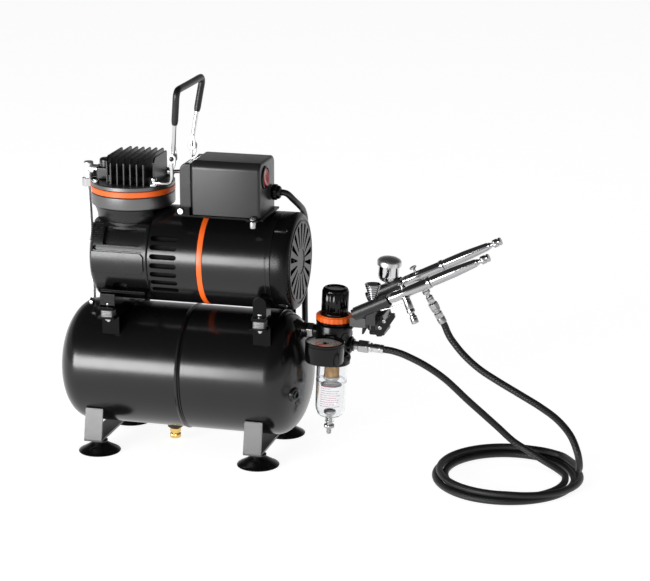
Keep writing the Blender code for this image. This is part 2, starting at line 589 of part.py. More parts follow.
def make_regulator():
    lean = REGULATOR_AXIS
    body = [(0, -45), (11.5, -45), (16.2, -45), (16.2, -50), (18, -50), (18, -9), (17, -7.5), (14.6, -7.5), (14.6, 3.5),
            (0, 3.5)]
    regulator = turned("regulator_body", body, "black_plastic", REGULATOR_AT, lean, 24)
    inlet = turned("add_inlet", [(0, 0), (6, 0), (6, 12), (0, 12)], "black_plastic", (122, 0, OUTLET_Z), (1, 0, 0), 16)
    combine(regulator, inlet, "UNION")
    outlet = turned("add_outlet_boss_reg", [(0, 0), (6.4, 0), (6.4, 6), (0, 6)], "black_plastic",
                    REGULATOR_HOSE_END - REGULATOR_HOSE_AXIS * 36.5, REGULATOR_HOSE_AXIS, 16)
    combine(regulator, outlet, "UNION")
    ring = [(15, -4.6), (18.5, -4.6), (18.5, 4.4), (15, 4.4)]
    turned("lock_ring", ring, "orange", REGULATOR_AT, lean, 32)
    knob = [(0, 3.9), (13.4, 3.9), (13.4, 26), (12, 28.4), (10, 29), (0, 29)]
    turned("regulator_knob", knob, "black_plastic", REGULATOR_AT, lean, 28)
    gauge_at = on_regulator(-15.6, GAUGE_OFFSET.x, GAUGE_OFFSET.y)
    case = [(0, -21), (19, -21), (19.5, -20), (19.5, 0), (17.9, 0), (17.9, -4), (0, -4)]
    gauge = turned("gauge_case", case, "black_plastic", gauge_at, lean, 32)
    stem = turned("add_gauge_stem", [(0, 18.5), (4.5, 18.5), (4.5, 21.1), (0, 21.1)], "black_plastic",
                  gauge_at - lean * 12, (0, 1, 0), 16)
    combine(gauge, stem, "UNION")
    hand = [(-5, -0.8), (13, -0.35), (13, 0.35), (-5, 0.8)]
    pointer = prism("gauge_pointer", hand, -3.4, -2.8, "Z", "red_lens")
    turn = Matrix.Rotation(math.radians(-130), 4, "Z")
    pointer.matrix_world = Matrix.Translation(gauge_at * MM) @ aimed(lean) @ turn
    bowl = [(14, -45.3), (15.6, -45.3), (15.6, -60), (15.1, -98), (13.4, -103.5), (9, -106.6), (4.6, -107.2),
            (4.6, -112.8), (3.4, -112.8), (3.4, -105.4), (8.4, -104.8), (12, -102.2), (13.5, -97.5), (14, -60)]
    turned("filter_bowl", bowl, "clear", REGULATOR_AT, lean, 20)
    element = [(0, -73.6), (10.5, -73.6), (10.5, -72.4), (2.2, -71.6), (2.2, -68), (5.8, -68), (5.8, -52), (9, -51),
               (9, -45.3), (0, -45.3)]
    turned("filter_element", element, "filter", REGULATOR_AT, lean, 20)
    valve = [(0, -126.4), (2.2, -126.4), (2.6, -125), (2.2, -117), (2.9, -116.4), (2.9, -104.5), (5.4, -104.1),
             (5.4, -101.5), (0, -101)]
    turned("bowl_drain_valve", valve, "steel", REGULATOR_AT, lean, 16)
    fitting = [(0, -30.2), (4, -30.2), (4, -26), (6, -26), (6, -15.5), (3.6, -15), (3.6, -13.5), (4.4, -13), (4.4, -GAP),
               (0, -GAP)]
    turned("hose_end_regulator", fitting, "chrome", REGULATOR_HOSE_END, REGULATOR_HOSE_AXIS, 20)


# ---------------------------------------------------------------- holder and airbrushes

def make_holder():
    plate = turned("holder_clamp", [(15, -7.1), (18.2, -7.1), (18.2, -5), (15, -5)], "satin_black",
                   REGULATOR_AT, REGULATOR_AXIS, 24)
    combine(plate, block("add_arm_neck", (165.5, -5, 140.3), (171, 5, 141.9), "satin_black"), "UNION")
    combine(plate, block("add_arm", (170, -4, 137), (188, 4, 147), "satin_black"), "UNION")
    combine(plate, block("add_jaw", (187, -17.5, 140), (204, 17.5, 156), "satin_black"), "UNION")
    combine(plate, block("add_lower_jaw", (187, -12, 128), (211, 12, 133), "satin_black"), "UNION")
    combine(plate, block("add_jaw_back", (187, -12, 130), (192, 12, 146), "satin_black"), "UNION")
    for name, tip, inward in (("front", FRONT_TIP, 1), ("rear", REAR_TIP, -1)):
        middle = tip + BRUSH_AXIS * 21.25
        outline = arc((0, 0), 6.8, 33, 327, 14) + arc((0, 0), 5.6, 327, 33, 14)
        sleeve = prism("holder_sleeve_" + name, outline, -19.75, 19.75, "Z", "black_plastic")
        sleeve.matrix_world = Matrix.Translation(middle * MM) @ brush_frame(0)
        lug = block("add_sleeve_lug_" + name, (-4.5, -3, -18), (4.5, 3, -4), "black_plastic",
                    (middle.x, middle.y, middle.z))
        opening = turned("cut_sleeve_" + name, [(0, -30), (6.2, -30), (6.2, 30), (0, 30)], "black_plastic",
                         middle, BRUSH_AXIS, 16)
        combine(lug, opening)
        combine(sleeve, lug, "UNION")
        set_origin(sleeve, (SLEEVE_PIVOT.x, middle.y, SLEEVE_PIVOT.z))
        inner_y = middle.y + inward * 3
        pin = turned("add_sleeve_pin_" + name, [(0, -2), (3.5, -2), (3.5, 4), (0, 4)], "black_plastic",
                     (SLEEVE_PIVOT.x, inner_y, SLEEVE_PIVOT.z), (0, inward, 0), 16)
        combine(sleeve, pin, "UNION")
        if name == "rear":
            room = [(0, 4), (4.6, 4), (8.4, 8.6), (11.2, 12.5), (11.2, 22), (0, 22)]
            base = tip + BRUSH_AXIS * 23.0
            combine(sleeve, turned("cut_cup_room", room, "black_plastic", base, CUP_LEAN, 20))


def brush_frame(roll):
    """Local Z along the airbrush, local X away from its air valve, after rolling about the axis."""
    down = Vector((BRUSH_AXIS.z, 0, -BRUSH_AXIS.x))
    turn = math.radians(roll)
    valve = down * math.cos(turn) + Vector((0, math.sin(turn), 0))
    across = BRUSH_AXIS.cross(-valve)
    return Matrix((-valve, across, BRUSH_AXIS)).transposed().to_4x4()


def make_airbrush(name, tip, roll):
    """Body with nozzle and air valve, rocking trigger, and turning handle with its end knob."""
    outline = [(0, 0), (0.7, 0), (0.9, 2.2), (2.3, 3), (3.5, 8), (4.1, 13), (4.2, 40), (5.1, 45), (5.1, 83.6),
               (6, 84.2), (6, 87.2), (0, 87.2)]
    frame = Matrix.Translation(tip * MM) @ brush_frame(roll)
    body = turned(name + "_body", outline, "chrome", segments=16)
    body.matrix_world = frame
    valve = turned("add_valve_" + name, [(0, 3), (3.6, 3), (3.6, 17), (4.1, 17.5), (4.1, 20), (2.6, 21), (2.6, 24),
                                         (3.6, 25), (3.6, VALVE_LENGTH), (0, VALVE_LENGTH)], "chrome", segments=12)
    valve.matrix_world = frame @ Matrix.Translation((0, 0, TRIGGER_AT * MM)) @ Matrix.Rotation(-math.pi / 2, 4, "Y")
    slot = block("cut_trigger_slot_" + name, (1.5, -1.9, TRIGGER_AT - 6.5), (9, 1.9, TRIGGER_AT + 6.5), "chrome")
    slot.matrix_world = frame
    combine(body, valve, "UNION")
    combine(body, slot)
    lever = turned(name + "_trigger", [(0, 2.6), (1.3, 2.6), (1.3, 8.4), (3.6, 9.4), (3.9, 10.2), (3.6, 11), (0, 10.6)],
                   "chrome", segments=12)
    lever.matrix_world = (frame @ Matrix.Translation((0, 0, TRIGGER_AT * MM)) @ Matrix.Rotation(math.pi / 2, 4, "Y"))
    handle = [(0, 87.5), (5.1, 87.5), (5.3, 92), (5.2, 112), (4, 136), (3.4, 138), (2.3, 139.5), (2.3, 142.6),
              (4.1, 143.2), (4.1, 150.4), (3.4, 151.4), (0, 151.4)]
    grip = turned(name + "_handle", handle, "chrome", segments=14)
    grip.matrix_world = frame
    return body


def make_airbrushes():
    body = make_airbrush("front_airbrush", FRONT_TIP, FRONT_ROLL)
    base = FRONT_TIP + BRUSH_AXIS * 23.0
    cone = [(0, 1), (2, 1), (2, 5.5), (2.6, 7), (7.9, 22.5), (7.1, 22.5), (1.8, 7.6), (0, 7.6)]
    combine(body, turned("add_cone_cup", cone, "chrome", base, (0, 0, 1), 20), "UNION")
    body = make_airbrush("rear_airbrush", REAR_TIP, REAR_ROLL)
    base = REAR_TIP + BRUSH_AXIS * 23.0
    lean = CUP_LEAN
    combine(body, turned("add_cup_stem", [(0, 1), (2.4, 1), (2.4, 7.6), (0, 7.6)], "chrome", base, lean, 12), "UNION")
    cup = [(0, 7.9), (3.4, 7.9), (7.4, 10), (10, 14), (10.6, 18), (10.6, 28.4), (9.8, 28.4), (9.8, 18), (9.2, 14.4),
           (7, 11), (3.4, 9), (0, 9)]
    turned("rear_cup", cup, "chrome", base, lean, 18)
    lid = [(0, 33.8), (5, 33.4), (10, 31.8), (12.4, 29.4), (12.3, 25), (11, 25), (11, 28.9), (9.4, 30.6), (5, 32.2),
           (0, 32.8)]
    turned("rear_cup_lid", lid, "chrome", base, lean, 18)
    frame = Matrix.Translation(REAR_TIP * MM) @ brush_frame(REAR_ROLL)
    start = VALVE_LENGTH + GAP
    fitting = [(0, start), (4.6, start), (4.6, 41), (3.6, 42), (3.6, 43.5), (4.4, 44), (4.4, HOSE_END_LENGTH - GAP),
               (0, HOSE_END_LENGTH - GAP)]
    end = turned("hose_end_airbrush", fitting, "chrome", segments=20)
    end.matrix_world = frame @ Matrix.Translation((0, 0, TRIGGER_AT * MM)) @ Matrix.Rotation(-math.pi / 2, 4, "Y")


# ---------------------------------------------------------------- hose and mains lead

HOSE_FROM_REGULATOR = [
    (212, 0, 114.4), (224, 0, 111), (244, 2, 101.3), (263.6, 6, 87.1), (284.5, 12, 66), (299.5, 17, 51.1),
    (314.6, 21, 36.6), (330, 23, 22.6), (346.3, 20, 14.5), (363.3, 12, 8.4), (378, 1.5, 5.2), (387.2, -9, 4.2)]
HOSE_TO_AIRBRUSH = [
    (259, 35.4, 127), (264, 34.5, 119.3), (276.8, 32, 105.8), (293.5, 27, 94.2), (314.1, 18, 85.9),
    (339.4, 6, 77.5), (361.7, -8, 71.3), (381.3, -25, 65.5), (396.5, -40, 56), (405, -49, 42.5),
    (407, -46.5, 29), (404.8, -34.5, 20), (401.4, -20, 17.5), (398.5, -9, 17.4)]
LEAD_FROM_GLAND = [
    (102, 4, 267.4), (106.5, 9, 260.8), (109, 19, 253.6), (109.5, 31, 246), (108.5, 43, 234),
    (106.5, 52, 215), (104.5, 56.5, 192), (103.5, 59.5, 165), (102.5, 63.5, 138), (100.5, 70.5, 105), (95, 78, 70),
    (84, 86, 36), (66, 94, 13), (45, 95.5, 4.4), (24, 92.4, 3.6), (4, 88.6, 3.5), (-12, 85.2, 3.5)]


def on_axis_of_brush(distance):
    """Point on the rear airbrush's air valve line, measured from the airbrush's axis."""
    valve = -(brush_frame(REAR_ROLL) @ Vector((1, 0, 0)))
    return REAR_TIP + BRUSH_AXIS * TRIGGER_AT + valve * distance


def coil_ring(name, centre, radius, half_width, height, look, segments):
    """Closed ring of a coil's outer shape, lying on the floor."""
    bevel = 3.0
    low, high = GAP, height
    inner, outer = radius - half_width, radius + half_width
    outline = [(inner + bevel, low), (outer - bevel, low), (outer, low + bevel), (outer, high - bevel),
               (outer - bevel, high), (inner + bevel, high), (inner, high - bevel), (inner, low + bevel)]
    return turned(name, outline, look, centre, (0, 0, 1), segments)


def make_hose():
    spacing = 2.2 * HOSE_DIAMETER
    leaving = lead_in(REGULATOR_HOSE_END, REGULATOR_HOSE_AXIS, HOSE_FROM_REGULATOR, spacing)
    rod("hose_from_regulator", leaving, HOSE_DIAMETER, "braid")
    start = on_axis_of_brush(HOSE_END_LENGTH)
    down = (start - on_axis_of_brush(0)).normalized()
    rod("hose_to_airbrush", lead_in(start, down, HOSE_TO_AIRBRUSH, spacing), HOSE_DIAMETER, "braid")
    coil_ring("hose_coil", HOSE_COIL_AT, HOSE_COIL_RADIUS, 7.0, 13.4, "braid", 32)


def make_mains_lead():
    start = GLAND_AT + Vector((9.5, 0, 0))
    rod("mains_lead", lead_in(start, (1, 0, 0), LEAD_FROM_GLAND, 2.2 * LEAD_DIAMETER), LEAD_DIAMETER, "rubber")
    coil_ring("mains_coil", MAINS_COIL_AT, MAINS_COIL_RADIUS, LEAD_DIAMETER, 19.2, "rubber", 28)
    low = MAINS_COIL_AT + Vector((0, MAINS_COIL_RADIUS + 5.5, 0))
    plug = block("mains_plug", (46, -12, GAP), (76, 12, 22), "black_plastic", low, bevel=2.5)
    relief = turned("add_relief", [(0, 0), (4, 0), (6.5, 26), (0, 26)], "black_plastic",
                    low + Vector((22, 0, 8)), (1, 0, 0), 16)
    combine(plug, relief, "UNION")
    for index, (y, z) in enumerate(((-6.3, 8), (6.3, 8))):
        blade = block("add_blade_pin_%d" % index, (72, y - 0.8, z - 3.2), (92, y + 0.8, z + 3.2), "steel", low)
        combine(plug, blade, "UNION")
    ground = turned("add_ground_pin", [(0, 0), (2.4, 0), (2.4, 22), (0, 22)], "steel",
                    low + Vector((74, 0, 16.5)), (1, 0, 0), 12)
    combine(plug, ground, "UNION")


def centre_on_origin():
    """Stand the finished model on the origin at the middle of its footprint."""
    for piece in bpy.data.objects:
        piece.matrix_world = Matrix.Translation((-CENTRE_X * MM, 0, 0)) @ piece.matrix_world


def build():
    clear_scene()
    make_tank()
    make_legs()
    make_mounts()
    make_crankcase()
    make_motor_housing()
    make_fan_cover()
    make_motor_insides()
    make_pump()
    make_handle()
    make_switch_box()
    make_regulator()
    make_holder()
    make_airbrushes()
    make_hose()
    make_mains_lead()
    centre_on_origin()


build()
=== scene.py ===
"""Airbrush compressor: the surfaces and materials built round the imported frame.

Lengths are in millimetres in the builder's own axes: X along the tank, -Y the front, Z = 0 the floor.
place() turns them into the row frame's metres.
"""
import math

import bmesh
import bpy
from mathutils import Matrix, Vector


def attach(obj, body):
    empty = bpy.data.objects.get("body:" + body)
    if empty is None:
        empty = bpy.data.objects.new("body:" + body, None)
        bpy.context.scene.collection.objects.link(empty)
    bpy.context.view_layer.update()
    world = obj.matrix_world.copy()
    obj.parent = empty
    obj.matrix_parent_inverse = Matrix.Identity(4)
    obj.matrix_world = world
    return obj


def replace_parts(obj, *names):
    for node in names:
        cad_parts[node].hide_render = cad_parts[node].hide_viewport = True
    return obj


MM = 0.001
CENTRE_X = 91.35
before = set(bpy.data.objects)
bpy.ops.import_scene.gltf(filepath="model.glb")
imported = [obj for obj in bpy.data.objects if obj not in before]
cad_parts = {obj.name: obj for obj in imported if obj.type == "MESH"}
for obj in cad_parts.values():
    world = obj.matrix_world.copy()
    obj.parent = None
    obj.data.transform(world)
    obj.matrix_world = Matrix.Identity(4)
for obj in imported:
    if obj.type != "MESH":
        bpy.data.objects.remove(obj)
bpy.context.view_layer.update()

# shared sizes
TANK_Z, TANK_R = 83.0, 63.0
MOTOR_Z, MOTOR_R = 200.8, 49.0
HEAD_X = -59.0
PIVOT = Vector((-6.1, 30.9, 305.5))
REG_AT = Vector((150.6, 0.0, 148.0))
REG_AXIS = Vector((math.sin(math.radians(2.7)), 0, math.cos(math.radians(2.7))))
BRUSH_AXIS = Vector((math.cos(math.radians(26.5)), 0, math.sin(math.radians(26.5))))
FRONT_TIP = Vector((175.2, -25.0, 157.0))
REAR_TIP = Vector((177.7, 25.0, 161.0))
CUP_LEAN = Vector((math.sin(math.radians(5)), 0, math.cos(math.radians(5))))
FRONT_ROLL, REAR_ROLL = -15, 10     # degrees about the airbrush's own axis
VALVE_STATION, CUP_STATION = 58.0, 23.0     # along an airbrush from its tip
UPRIGHT = Matrix(((1, 0, 0), (0, 0, -1), (0, 1, 0))).to_4x4()     # a flat outline's height becomes Z
HOSE_END = Vector((201.6, 0.0, 115.6))
HOSE_AXIS = Vector((0.9972, 0, -0.0745))
COIL_AT = Vector((334.0, -27.0, 0.0))
MAINS_COIL_AT = Vector((-28.0, 128.0, 0.0))


# ---------------------------------------------------------------- materials

def principled(name, colour, roughness, metallic=0.0, **inputs):
    made = bpy.data.materials.new(name)
    made.use_nodes = True
    shader = made.node_tree.nodes["Principled BSDF"]
    shader.inputs["Base Color"].default_value = (*colour, 1)
    shader.inputs["Roughness"].default_value = roughness
    shader.inputs["Metallic"].default_value = metallic
    for key, value in inputs.items():
        shader.inputs[key.replace("_", " ")].default_value = value
    return made


def add_node(mat, kind, **values):
    node = mat.node_tree.nodes.new(kind)
    for key, value in values.items():
        if hasattr(node, key):
            setattr(node, key, value)
        else:
            node.inputs[key.replace("_", " ")].default_value = value
    return node


def link(mat, source, target):
    mat.node_tree.links.new(source, target)


def object_point(mat, scale=(1, 1, 1)):
    coords = add_node(mat, "ShaderNodeTexCoord")
    mapping = add_node(mat, "ShaderNodeMapping", Scale=scale)
    link(mat, coords.outputs["Object"], mapping.inputs["Vector"])
    return mapping.outputs["Vector"]


def noise(mat, scale, detail=4.0, stretch=(1, 1, 1)):
    node = add_node(mat, "ShaderNodeTexNoise", Scale=scale, Detail=detail)
    link(mat, object_point(mat, stretch), node.inputs["Vector"])
    return node.outputs["Fac"]


def vary_roughness(mat, factor, low, high):
    spread = add_node(mat, "ShaderNodeMapRange")
    spread.inputs["To Min"].default_value = low
    spread.inputs["To Max"].default_value = high
    link(mat, factor, spread.inputs["Value"])
    link(mat, spread.outputs["Result"], mat.node_tree.nodes["Principled BSDF"].inputs["Roughness"])


def vary_colour(mat, factor, dark, light, low=0.3, high=0.7):
    ramp = add_node(mat, "ShaderNodeValToRGB")
    ramp.color_ramp.elements[0].position = low
    ramp.color_ramp.elements[1].position = high
    ramp.color_ramp.elements[0].color = (*dark, 1)
    ramp.color_ramp.elements[1].color = (*light, 1)
    link(mat, factor, ramp.inputs["Fac"])
    link(mat, ramp.outputs["Color"], mat.node_tree.nodes["Principled BSDF"].inputs["Base Color"])


def bump(mat, factor, strength, distance=0.0002):
    node = add_node(mat, "ShaderNodeBump", Strength=strength, Distance=distance)
    link(mat, factor, node.inputs["Height"])
    link(mat, node.outputs["Normal"], mat.node_tree.nodes["Principled BSDF"].inputs["Normal"])
    return node


def gloss_paint(name, colour, roughness=0.2):
    """Sprayed enamel: faint orange peel and a slightly uneven gloss."""
    mat = principled(name, colour, roughness, 0.0, Specular_IOR_Level=0.5)
    vary_roughness(mat, noise(mat, 60), roughness * 0.85, roughness * 1.2)
    bump(mat, noise(mat, 900, 2), 0.05)
    return mat


def satin_paint(name, colour, roughness=0.42, metallic=0.0, shine=0.5):
    """Powder coat with a fine even texture."""
    mat = principled(name, colour, roughness, metallic, Specular_IOR_Level=shine)
    vary_roughness(mat, noise(mat, 120), roughness * 0.85, roughness * 1.15)
    bump(mat, noise(mat, 2200, 3), 0.14)
    return mat


def cast_metal(name, colour, roughness=0.5):
    """Painted casting with a pebbled skin."""
    mat = principled(name, colour, roughness, 0.0)
    vary_roughness(mat, noise(mat, 200), roughness * 0.8, roughness * 1.2)
    bump(mat, noise(mat, 1500, 5), 0.12)
    return mat


def moulded(name, colour, roughness=0.38, grain=0.1, shine=0.5):
    """Moulded plastic with a fine spark-eroded grain."""
    mat = principled(name, colour, roughness, Specular_IOR_Level=shine)
    vary_roughness(mat, noise(mat, 400), roughness * 0.85, roughness * 1.2)
    cells = add_node(mat, "ShaderNodeTexVoronoi", Scale=3000.0)
    link(mat, object_point(mat), cells.inputs["Vector"])
    bump(mat, cells.outputs["Distance"], grain)
    return mat


def rubbery(name, colour, roughness=0.62):
    """Rubber with dusty patches."""
    mat = principled(name, colour, roughness)
    lighter = tuple(min(1, c * 1.7 + 0.0015) for c in colour)
    vary_colour(mat, noise(mat, 90, 6), colour, lighter)
    vary_roughness(mat, noise(mat, 160), roughness * 0.8, roughness * 1.15)
    bump(mat, noise(mat, 1800, 3), 0.15)
    return mat


def plated(name, colour, roughness=0.1, streak=(1, 1, 1)):
    """Plated or machined metal with fine tool marks along one direction."""
    mat = principled(name, colour, roughness, 1.0)
    vary_roughness(mat, noise(mat, 500, 3, streak), roughness * 0.6, roughness * 1.6)
    bump(mat, noise(mat, 700, 2, streak), 0.04)
    return mat


def braided(name):
    """Black braid: two sets of strands crossing along the hose, from the tube's own UVs in metres."""
    mat = principled(name, (0.01, 0.01, 0.01), 0.42, Specular_IOR_Level=0.4)
    coords = add_node(mat, "ShaderNodeTexCoord")
    split = add_node(mat, "ShaderNodeSeparateXYZ")
    link(mat, coords.outputs["UV"], split.inputs["Vector"])
    waves = []
    for sign in (1, -1):
        around = add_node(mat, "ShaderNodeMath", operation="MULTIPLY")
        around.inputs[1].default_value = 2 * math.pi * 8 * sign
        along = add_node(mat, "ShaderNodeMath", operation="MULTIPLY_ADD")
        along.inputs[1].default_value = 2 * math.pi / 0.0034
        wave = add_node(mat, "ShaderNodeMath", operation="SINE")
        link(mat, split.outputs["X"], around.inputs[0])
        link(mat, split.outputs["Y"], along.inputs[0])
        link(mat, around.outputs["Value"], along.inputs[2])
        link(mat, along.outputs["Value"], wave.inputs[0])
        waves.append(wave)
    woven = add_node(mat, "ShaderNodeMath", operation="MAXIMUM")
    link(mat, waves[0].outputs["Value"], woven.inputs[0])
    link(mat, waves[1].outputs["Value"], woven.inputs[1])
    height = add_node(mat, "ShaderNodeMapRange")
    height.inputs["From Min"].default_value = -1.0
    link(mat, woven.outputs["Value"], height.inputs["Value"])
    # Strands are lighter on their crowns and near black in the hollows between them: painted shade in the
    # weave.
    vary_colour(mat, height.outputs["Result"], (0.001, 0.001, 0.001), (0.012, 0.012, 0.0125), 0.2, 0.9)
    bump(mat, height.outputs["Result"], 0.6, 0.0004)
    return mat


def clear_plastic(name, colour, roughness=0.06):
    mat = principled(name, colour, roughness, 0.0, Transmission_Weight=1.0, IOR=1.3)
    vary_roughness(mat, noise(mat, 80), roughness * 0.5, roughness * 1.8)
    bump(mat, noise(mat, 300, 2), 0.02)
    return mat


def make_materials():
    looks = {
        "tank": gloss_paint("tank_enamel", (0.004, 0.004, 0.0045), 0.21),
        "motor": gloss_paint("motor_enamel", (0.004, 0.004, 0.0045), 0.21),
        "case": gloss_paint("crankcase_enamel", (0.006, 0.006, 0.0065), 0.26),
        "box": satin_paint("box_powder_coat", (0.014, 0.014, 0.0145), 0.3, 0.0, 0.4),
        "arm": satin_paint("arm_coat", (0.07, 0.07, 0.071), 0.36),
        "strap": satin_paint("strap_coat", (0.1, 0.1, 0.102), 0.36),
        "bracket": satin_paint("bracket_enamel", (0.0015, 0.0015, 0.0017), 0.18, 0.0, 0.14),
        "cast": cast_metal("head_casting", (0.006, 0.006, 0.0065), 0.3),
        "flange": satin_paint("flange_paint", (0.17, 0.17, 0.172), 0.34, 0.9),
        "plastic": moulded("black_plastic", (0.002, 0.002, 0.0022), 0.2, 0.1, 0.3),
        "cover": moulded("cover_plastic", (0.003, 0.003, 0.0032), 0.26, 0.08, 0.2),
        "sleeve": moulded("sleeve_plastic", (0.008, 0.008, 0.0085), 0.36),
        "knob": moulded("knob_plastic", (0.001, 0.001, 0.0012), 0.14, 0.03, 0.3),
        "rubber": rubbery("black_rubber", (0.0006, 0.0006, 0.0006), 0.22),
        "grip": rubbery("grip_rubber", (0.004, 0.004, 0.004), 0.4),
        "buffer": satin_paint("buffer_coat", (0.3, 0.3, 0.3), 0.4, 0.8),
        "lead": rubbery("lead_jacket", (0.004, 0.004, 0.004), 0.35),
        # painted shade: a near-black matt sheet standing in for the shade inside the motor behind its slots
        "dark": rubbery("shadowed_inside", (0.0005, 0.0005, 0.0005), 0.95),
        "aluminium": plated("aluminium_tube", (0.92, 0.92, 0.93), 0.34, (1, 1, 8)),
        "orange": gloss_paint("orange_enamel", (0.9, 0.13, 0.012), 0.35),
        "ring": moulded("orange_plastic", (0.8, 0.12, 0.005), 0.35),
        "chrome": plated("chrome", (0.66, 0.66, 0.67), 0.08),
        "brush": plated("airbrush_chrome", (0.48, 0.48, 0.49), 0.12),
        "steel": plated("zinc_steel", (0.46, 0.46, 0.46), 0.26, (1, 1, 8)),
        "brass": plated("brass", (0.82, 0.56, 0.18), 0.2, (1, 1, 8)),
        "switch": principled("switch_red", (0.3, 0.003, 0.012), 0.14, Specular_IOR_Level=0.2),
        "dial": satin_paint("dial_card", (0.82, 0.82, 0.8), 0.5),
        "ink": satin_paint("dial_ink", (0.02, 0.02, 0.02), 0.5),
        "red": satin_paint("red_ink", (0.6, 0.03, 0.03), 0.4),
        "lens": clear_plastic("gauge_lens", (0.97, 0.98, 0.98), 0.03),
        "bowl": clear_plastic("bowl_polycarbonate", (0.96, 0.97, 0.98), 0.05),
        "filter": rubbery("sintered_bronze", (0.34, 0.2, 0.08), 0.8),
        "print": satin_paint("bowl_ink", (0.5, 0.2, 0.25), 0.5),
        "inner": moulded("white_plastic", (0.7, 0.7, 0.68), 0.4),
        "braid": braided("hose_braid"),
        "copper": plated("winding_copper", (0.5, 0.2, 0.08), 0.4),
        "frosted": plated("satin_chrome", (0.7, 0.7, 0.71), 0.34),
    }
    patches = looks["switch"]
    vary_roughness(patches, noise(patches, 150), 0.08, 0.2)
    return looks


LOOK = make_materials()


# ---------------------------------------------------------------- mesh helpers

def place(point):
    """Millimetres in the builder's axes to metres in the row frame."""
    return Vector(((point[0] - CENTRE_X) * MM, point[1] * MM, point[2] * MM))


def aimed(axis):
    return Vector((0, 0, 1)).rotation_difference(Vector(axis)).to_matrix().to_4x4()


def standing(at, rotation=None):
    """World matrix of a piece whose local origin is at a point given in millimetres."""
    return Matrix.Translation(place(at)) @ (rotation or Matrix.Identity(4))


def face_outward(bm):
    """Point every face out, one closed shell at a time."""
    bmesh.ops.recalc_face_normals(bm, faces=bm.faces)
    waiting = set(bm.faces)
    while waiting:
        shell, volume = [waiting.pop()], 0.0
        for face in shell:
            volume += face.calc_center_median().dot(face.normal) * face.calc_area()
            for edge in face.edges:
                for other in edge.link_faces:
                    if other in waiting:
                        waiting.remove(other)
                        shell.append(other)
        if volume < 0:
            bmesh.ops.reverse_faces(bm, faces=shell)


def show(name, bm, look, body, matrix=None, smooth=35, bevel=0.0, steps=2, keep_scale=False):
    """Turn a bmesh in millimetres into a piece that rides on body."""
    face_outward(bm)
    if not keep_scale:
        bmesh.ops.scale(bm, vec=(MM, MM, MM), verts=bm.verts)
    mesh = bpy.data.meshes.new(name)
    bm.to_mesh(mesh)
    bm.free()
    mesh.materials.append(LOOK[look])
    piece = bpy.data.objects.new(name, mesh)
    bpy.context.collection.objects.link(piece)
    piece.matrix_world = matrix if matrix is not None else Matrix.Translation((-CENTRE_X * MM, 0, 0))
    mesh.shade_smooth()
    mesh.set_sharp_from_angle(angle=math.radians(smooth))
    if bevel:
        edge = piece.modifiers.new("bevel", "BEVEL")
        edge.width = bevel * MM
        edge.segments = steps
        edge.limit_method = "ANGLE"
        edge.angle_limit = math.radians(smooth)
        edge.harden_normals = True
    if body:
        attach(piece, body)
    return piece


def turned(name, outline, look, body, at=(0, 0, 0), axis=(0, 0, 1), segments=64, matrix=None, **style):
    """Turned piece: outline is (radius, height), axis to axis or a closed loop."""
    bm = bmesh.new()
    add_turned(bm, outline, segments)
    return show(name, bm, look, body, matrix if matrix is not None else standing(at, aimed(axis)), **style)


def add_turned(bm, outline, segments):
    rings = []
    for radius, height in outline:
        if radius < 1e-6:
            rings.append([bm.verts.new((0, 0, height))])
            continue
        turns = [2 * math.pi * step / segments for step in range(segments)]
        rings.append([bm.verts.new((radius * math.cos(t), radius * math.sin(t), height)) for t in turns])
    pairs = list(zip(rings, rings[1:]))
    if len(rings[0]) > 1:
        pairs.append((rings[-1], rings[0]))
    for lower, upper in pairs:
        for step in range(segments):
            after = (step + 1) % segments
            corners = [lower[step % len(lower)], lower[after % len(lower)],
                       upper[after % len(upper)], upper[step % len(upper)]]
            unique = list(dict.fromkeys(corners))
            if len(unique) > 2:
                bm.faces.new(unique)


def rounded(outline, radius, steps=3):
    """Outline with its inner corners rounded."""
    result = [outline[0]]
    for before, here, after in zip(outline, outline[1:], outline[2:]):
        here, before, after = Vector(here), Vector(before), Vector(after)
        back, ahead = before - here, after - here
        reach = min(radius, back.length * 0.45, ahead.length * 0.45)
        start, end = here + back.normalized() * reach, here + ahead.normalized() * reach
        for step in range(steps + 1):
            t = step / steps
            result.append(tuple(start.lerp(here, t).lerp(here.lerp(end, t), t)))
    result.append(outline[-1])
    return [(max(0.0, r), h) for r, h in result]


def add_prism(bm, outline, low, high, along="Z", offset=Matrix.Identity(4)):
    places = {"X": lambda a, b, h: (h, a, b), "Y": lambda a, b, h: (a, h, b), "Z": lambda a, b,
              h: (a, b, h)}
    put = places[along]
    start = [bm.verts.new(offset @ Vector(put(a, b, low))) for a, b in outline]
    end = [bm.verts.new(offset @ Vector(put(a, b, high))) for a, b in outline]
    bm.faces.new(start)
    bm.faces.new(end)
    for step in range(len(outline)):
        after = (step + 1) % len(outline)
        bm.faces.new((start[step], start[after], end[after], end[step]))


def prism(name, outline, low, high, along, look, body, matrix=None, **style):
    bm = bmesh.new()
    add_prism(bm, outline, low, high, along)
    return show(name, bm, look, body, matrix, **style)


def block(name, low, high, look, body, matrix=None, **style):
    outline = [(low[0], low[1]), (high[0], low[1]), (high[0], high[1]), (low[0], high[1])]
    return prism(name, outline, low[2], high[2], "Z", look, body, matrix, **style)


def arc(centre, radius, start, end, steps):
    angles = [math.radians(start + (end - start) * step / steps) for step in range(steps + 1)]
    return [(centre[0] + radius * math.cos(a), centre[1] + radius * math.sin(a)) for a in angles]


def combine(piece, tool):
    """Boolean with a hidden tool, applied so that no cutter stays behind."""
    step = piece.modifiers.new("boolean", "BOOLEAN")
    step.operation = "DIFFERENCE"
    step.solver = "EXACT"
    step.object = tool
    if len(piece.modifiers) > 1:
        piece.modifiers.move(len(piece.modifiers) - 1, 0)
    with bpy.context.temp_override(object=piece, active_object=piece):
        bpy.ops.object.modifier_apply(modifier=step.name)
    bpy.data.objects.remove(tool, do_unlink=True)
    piece.data.shade_smooth()
    piece.data.set_sharp_from_angle(angle=math.radians(35))
    return piece


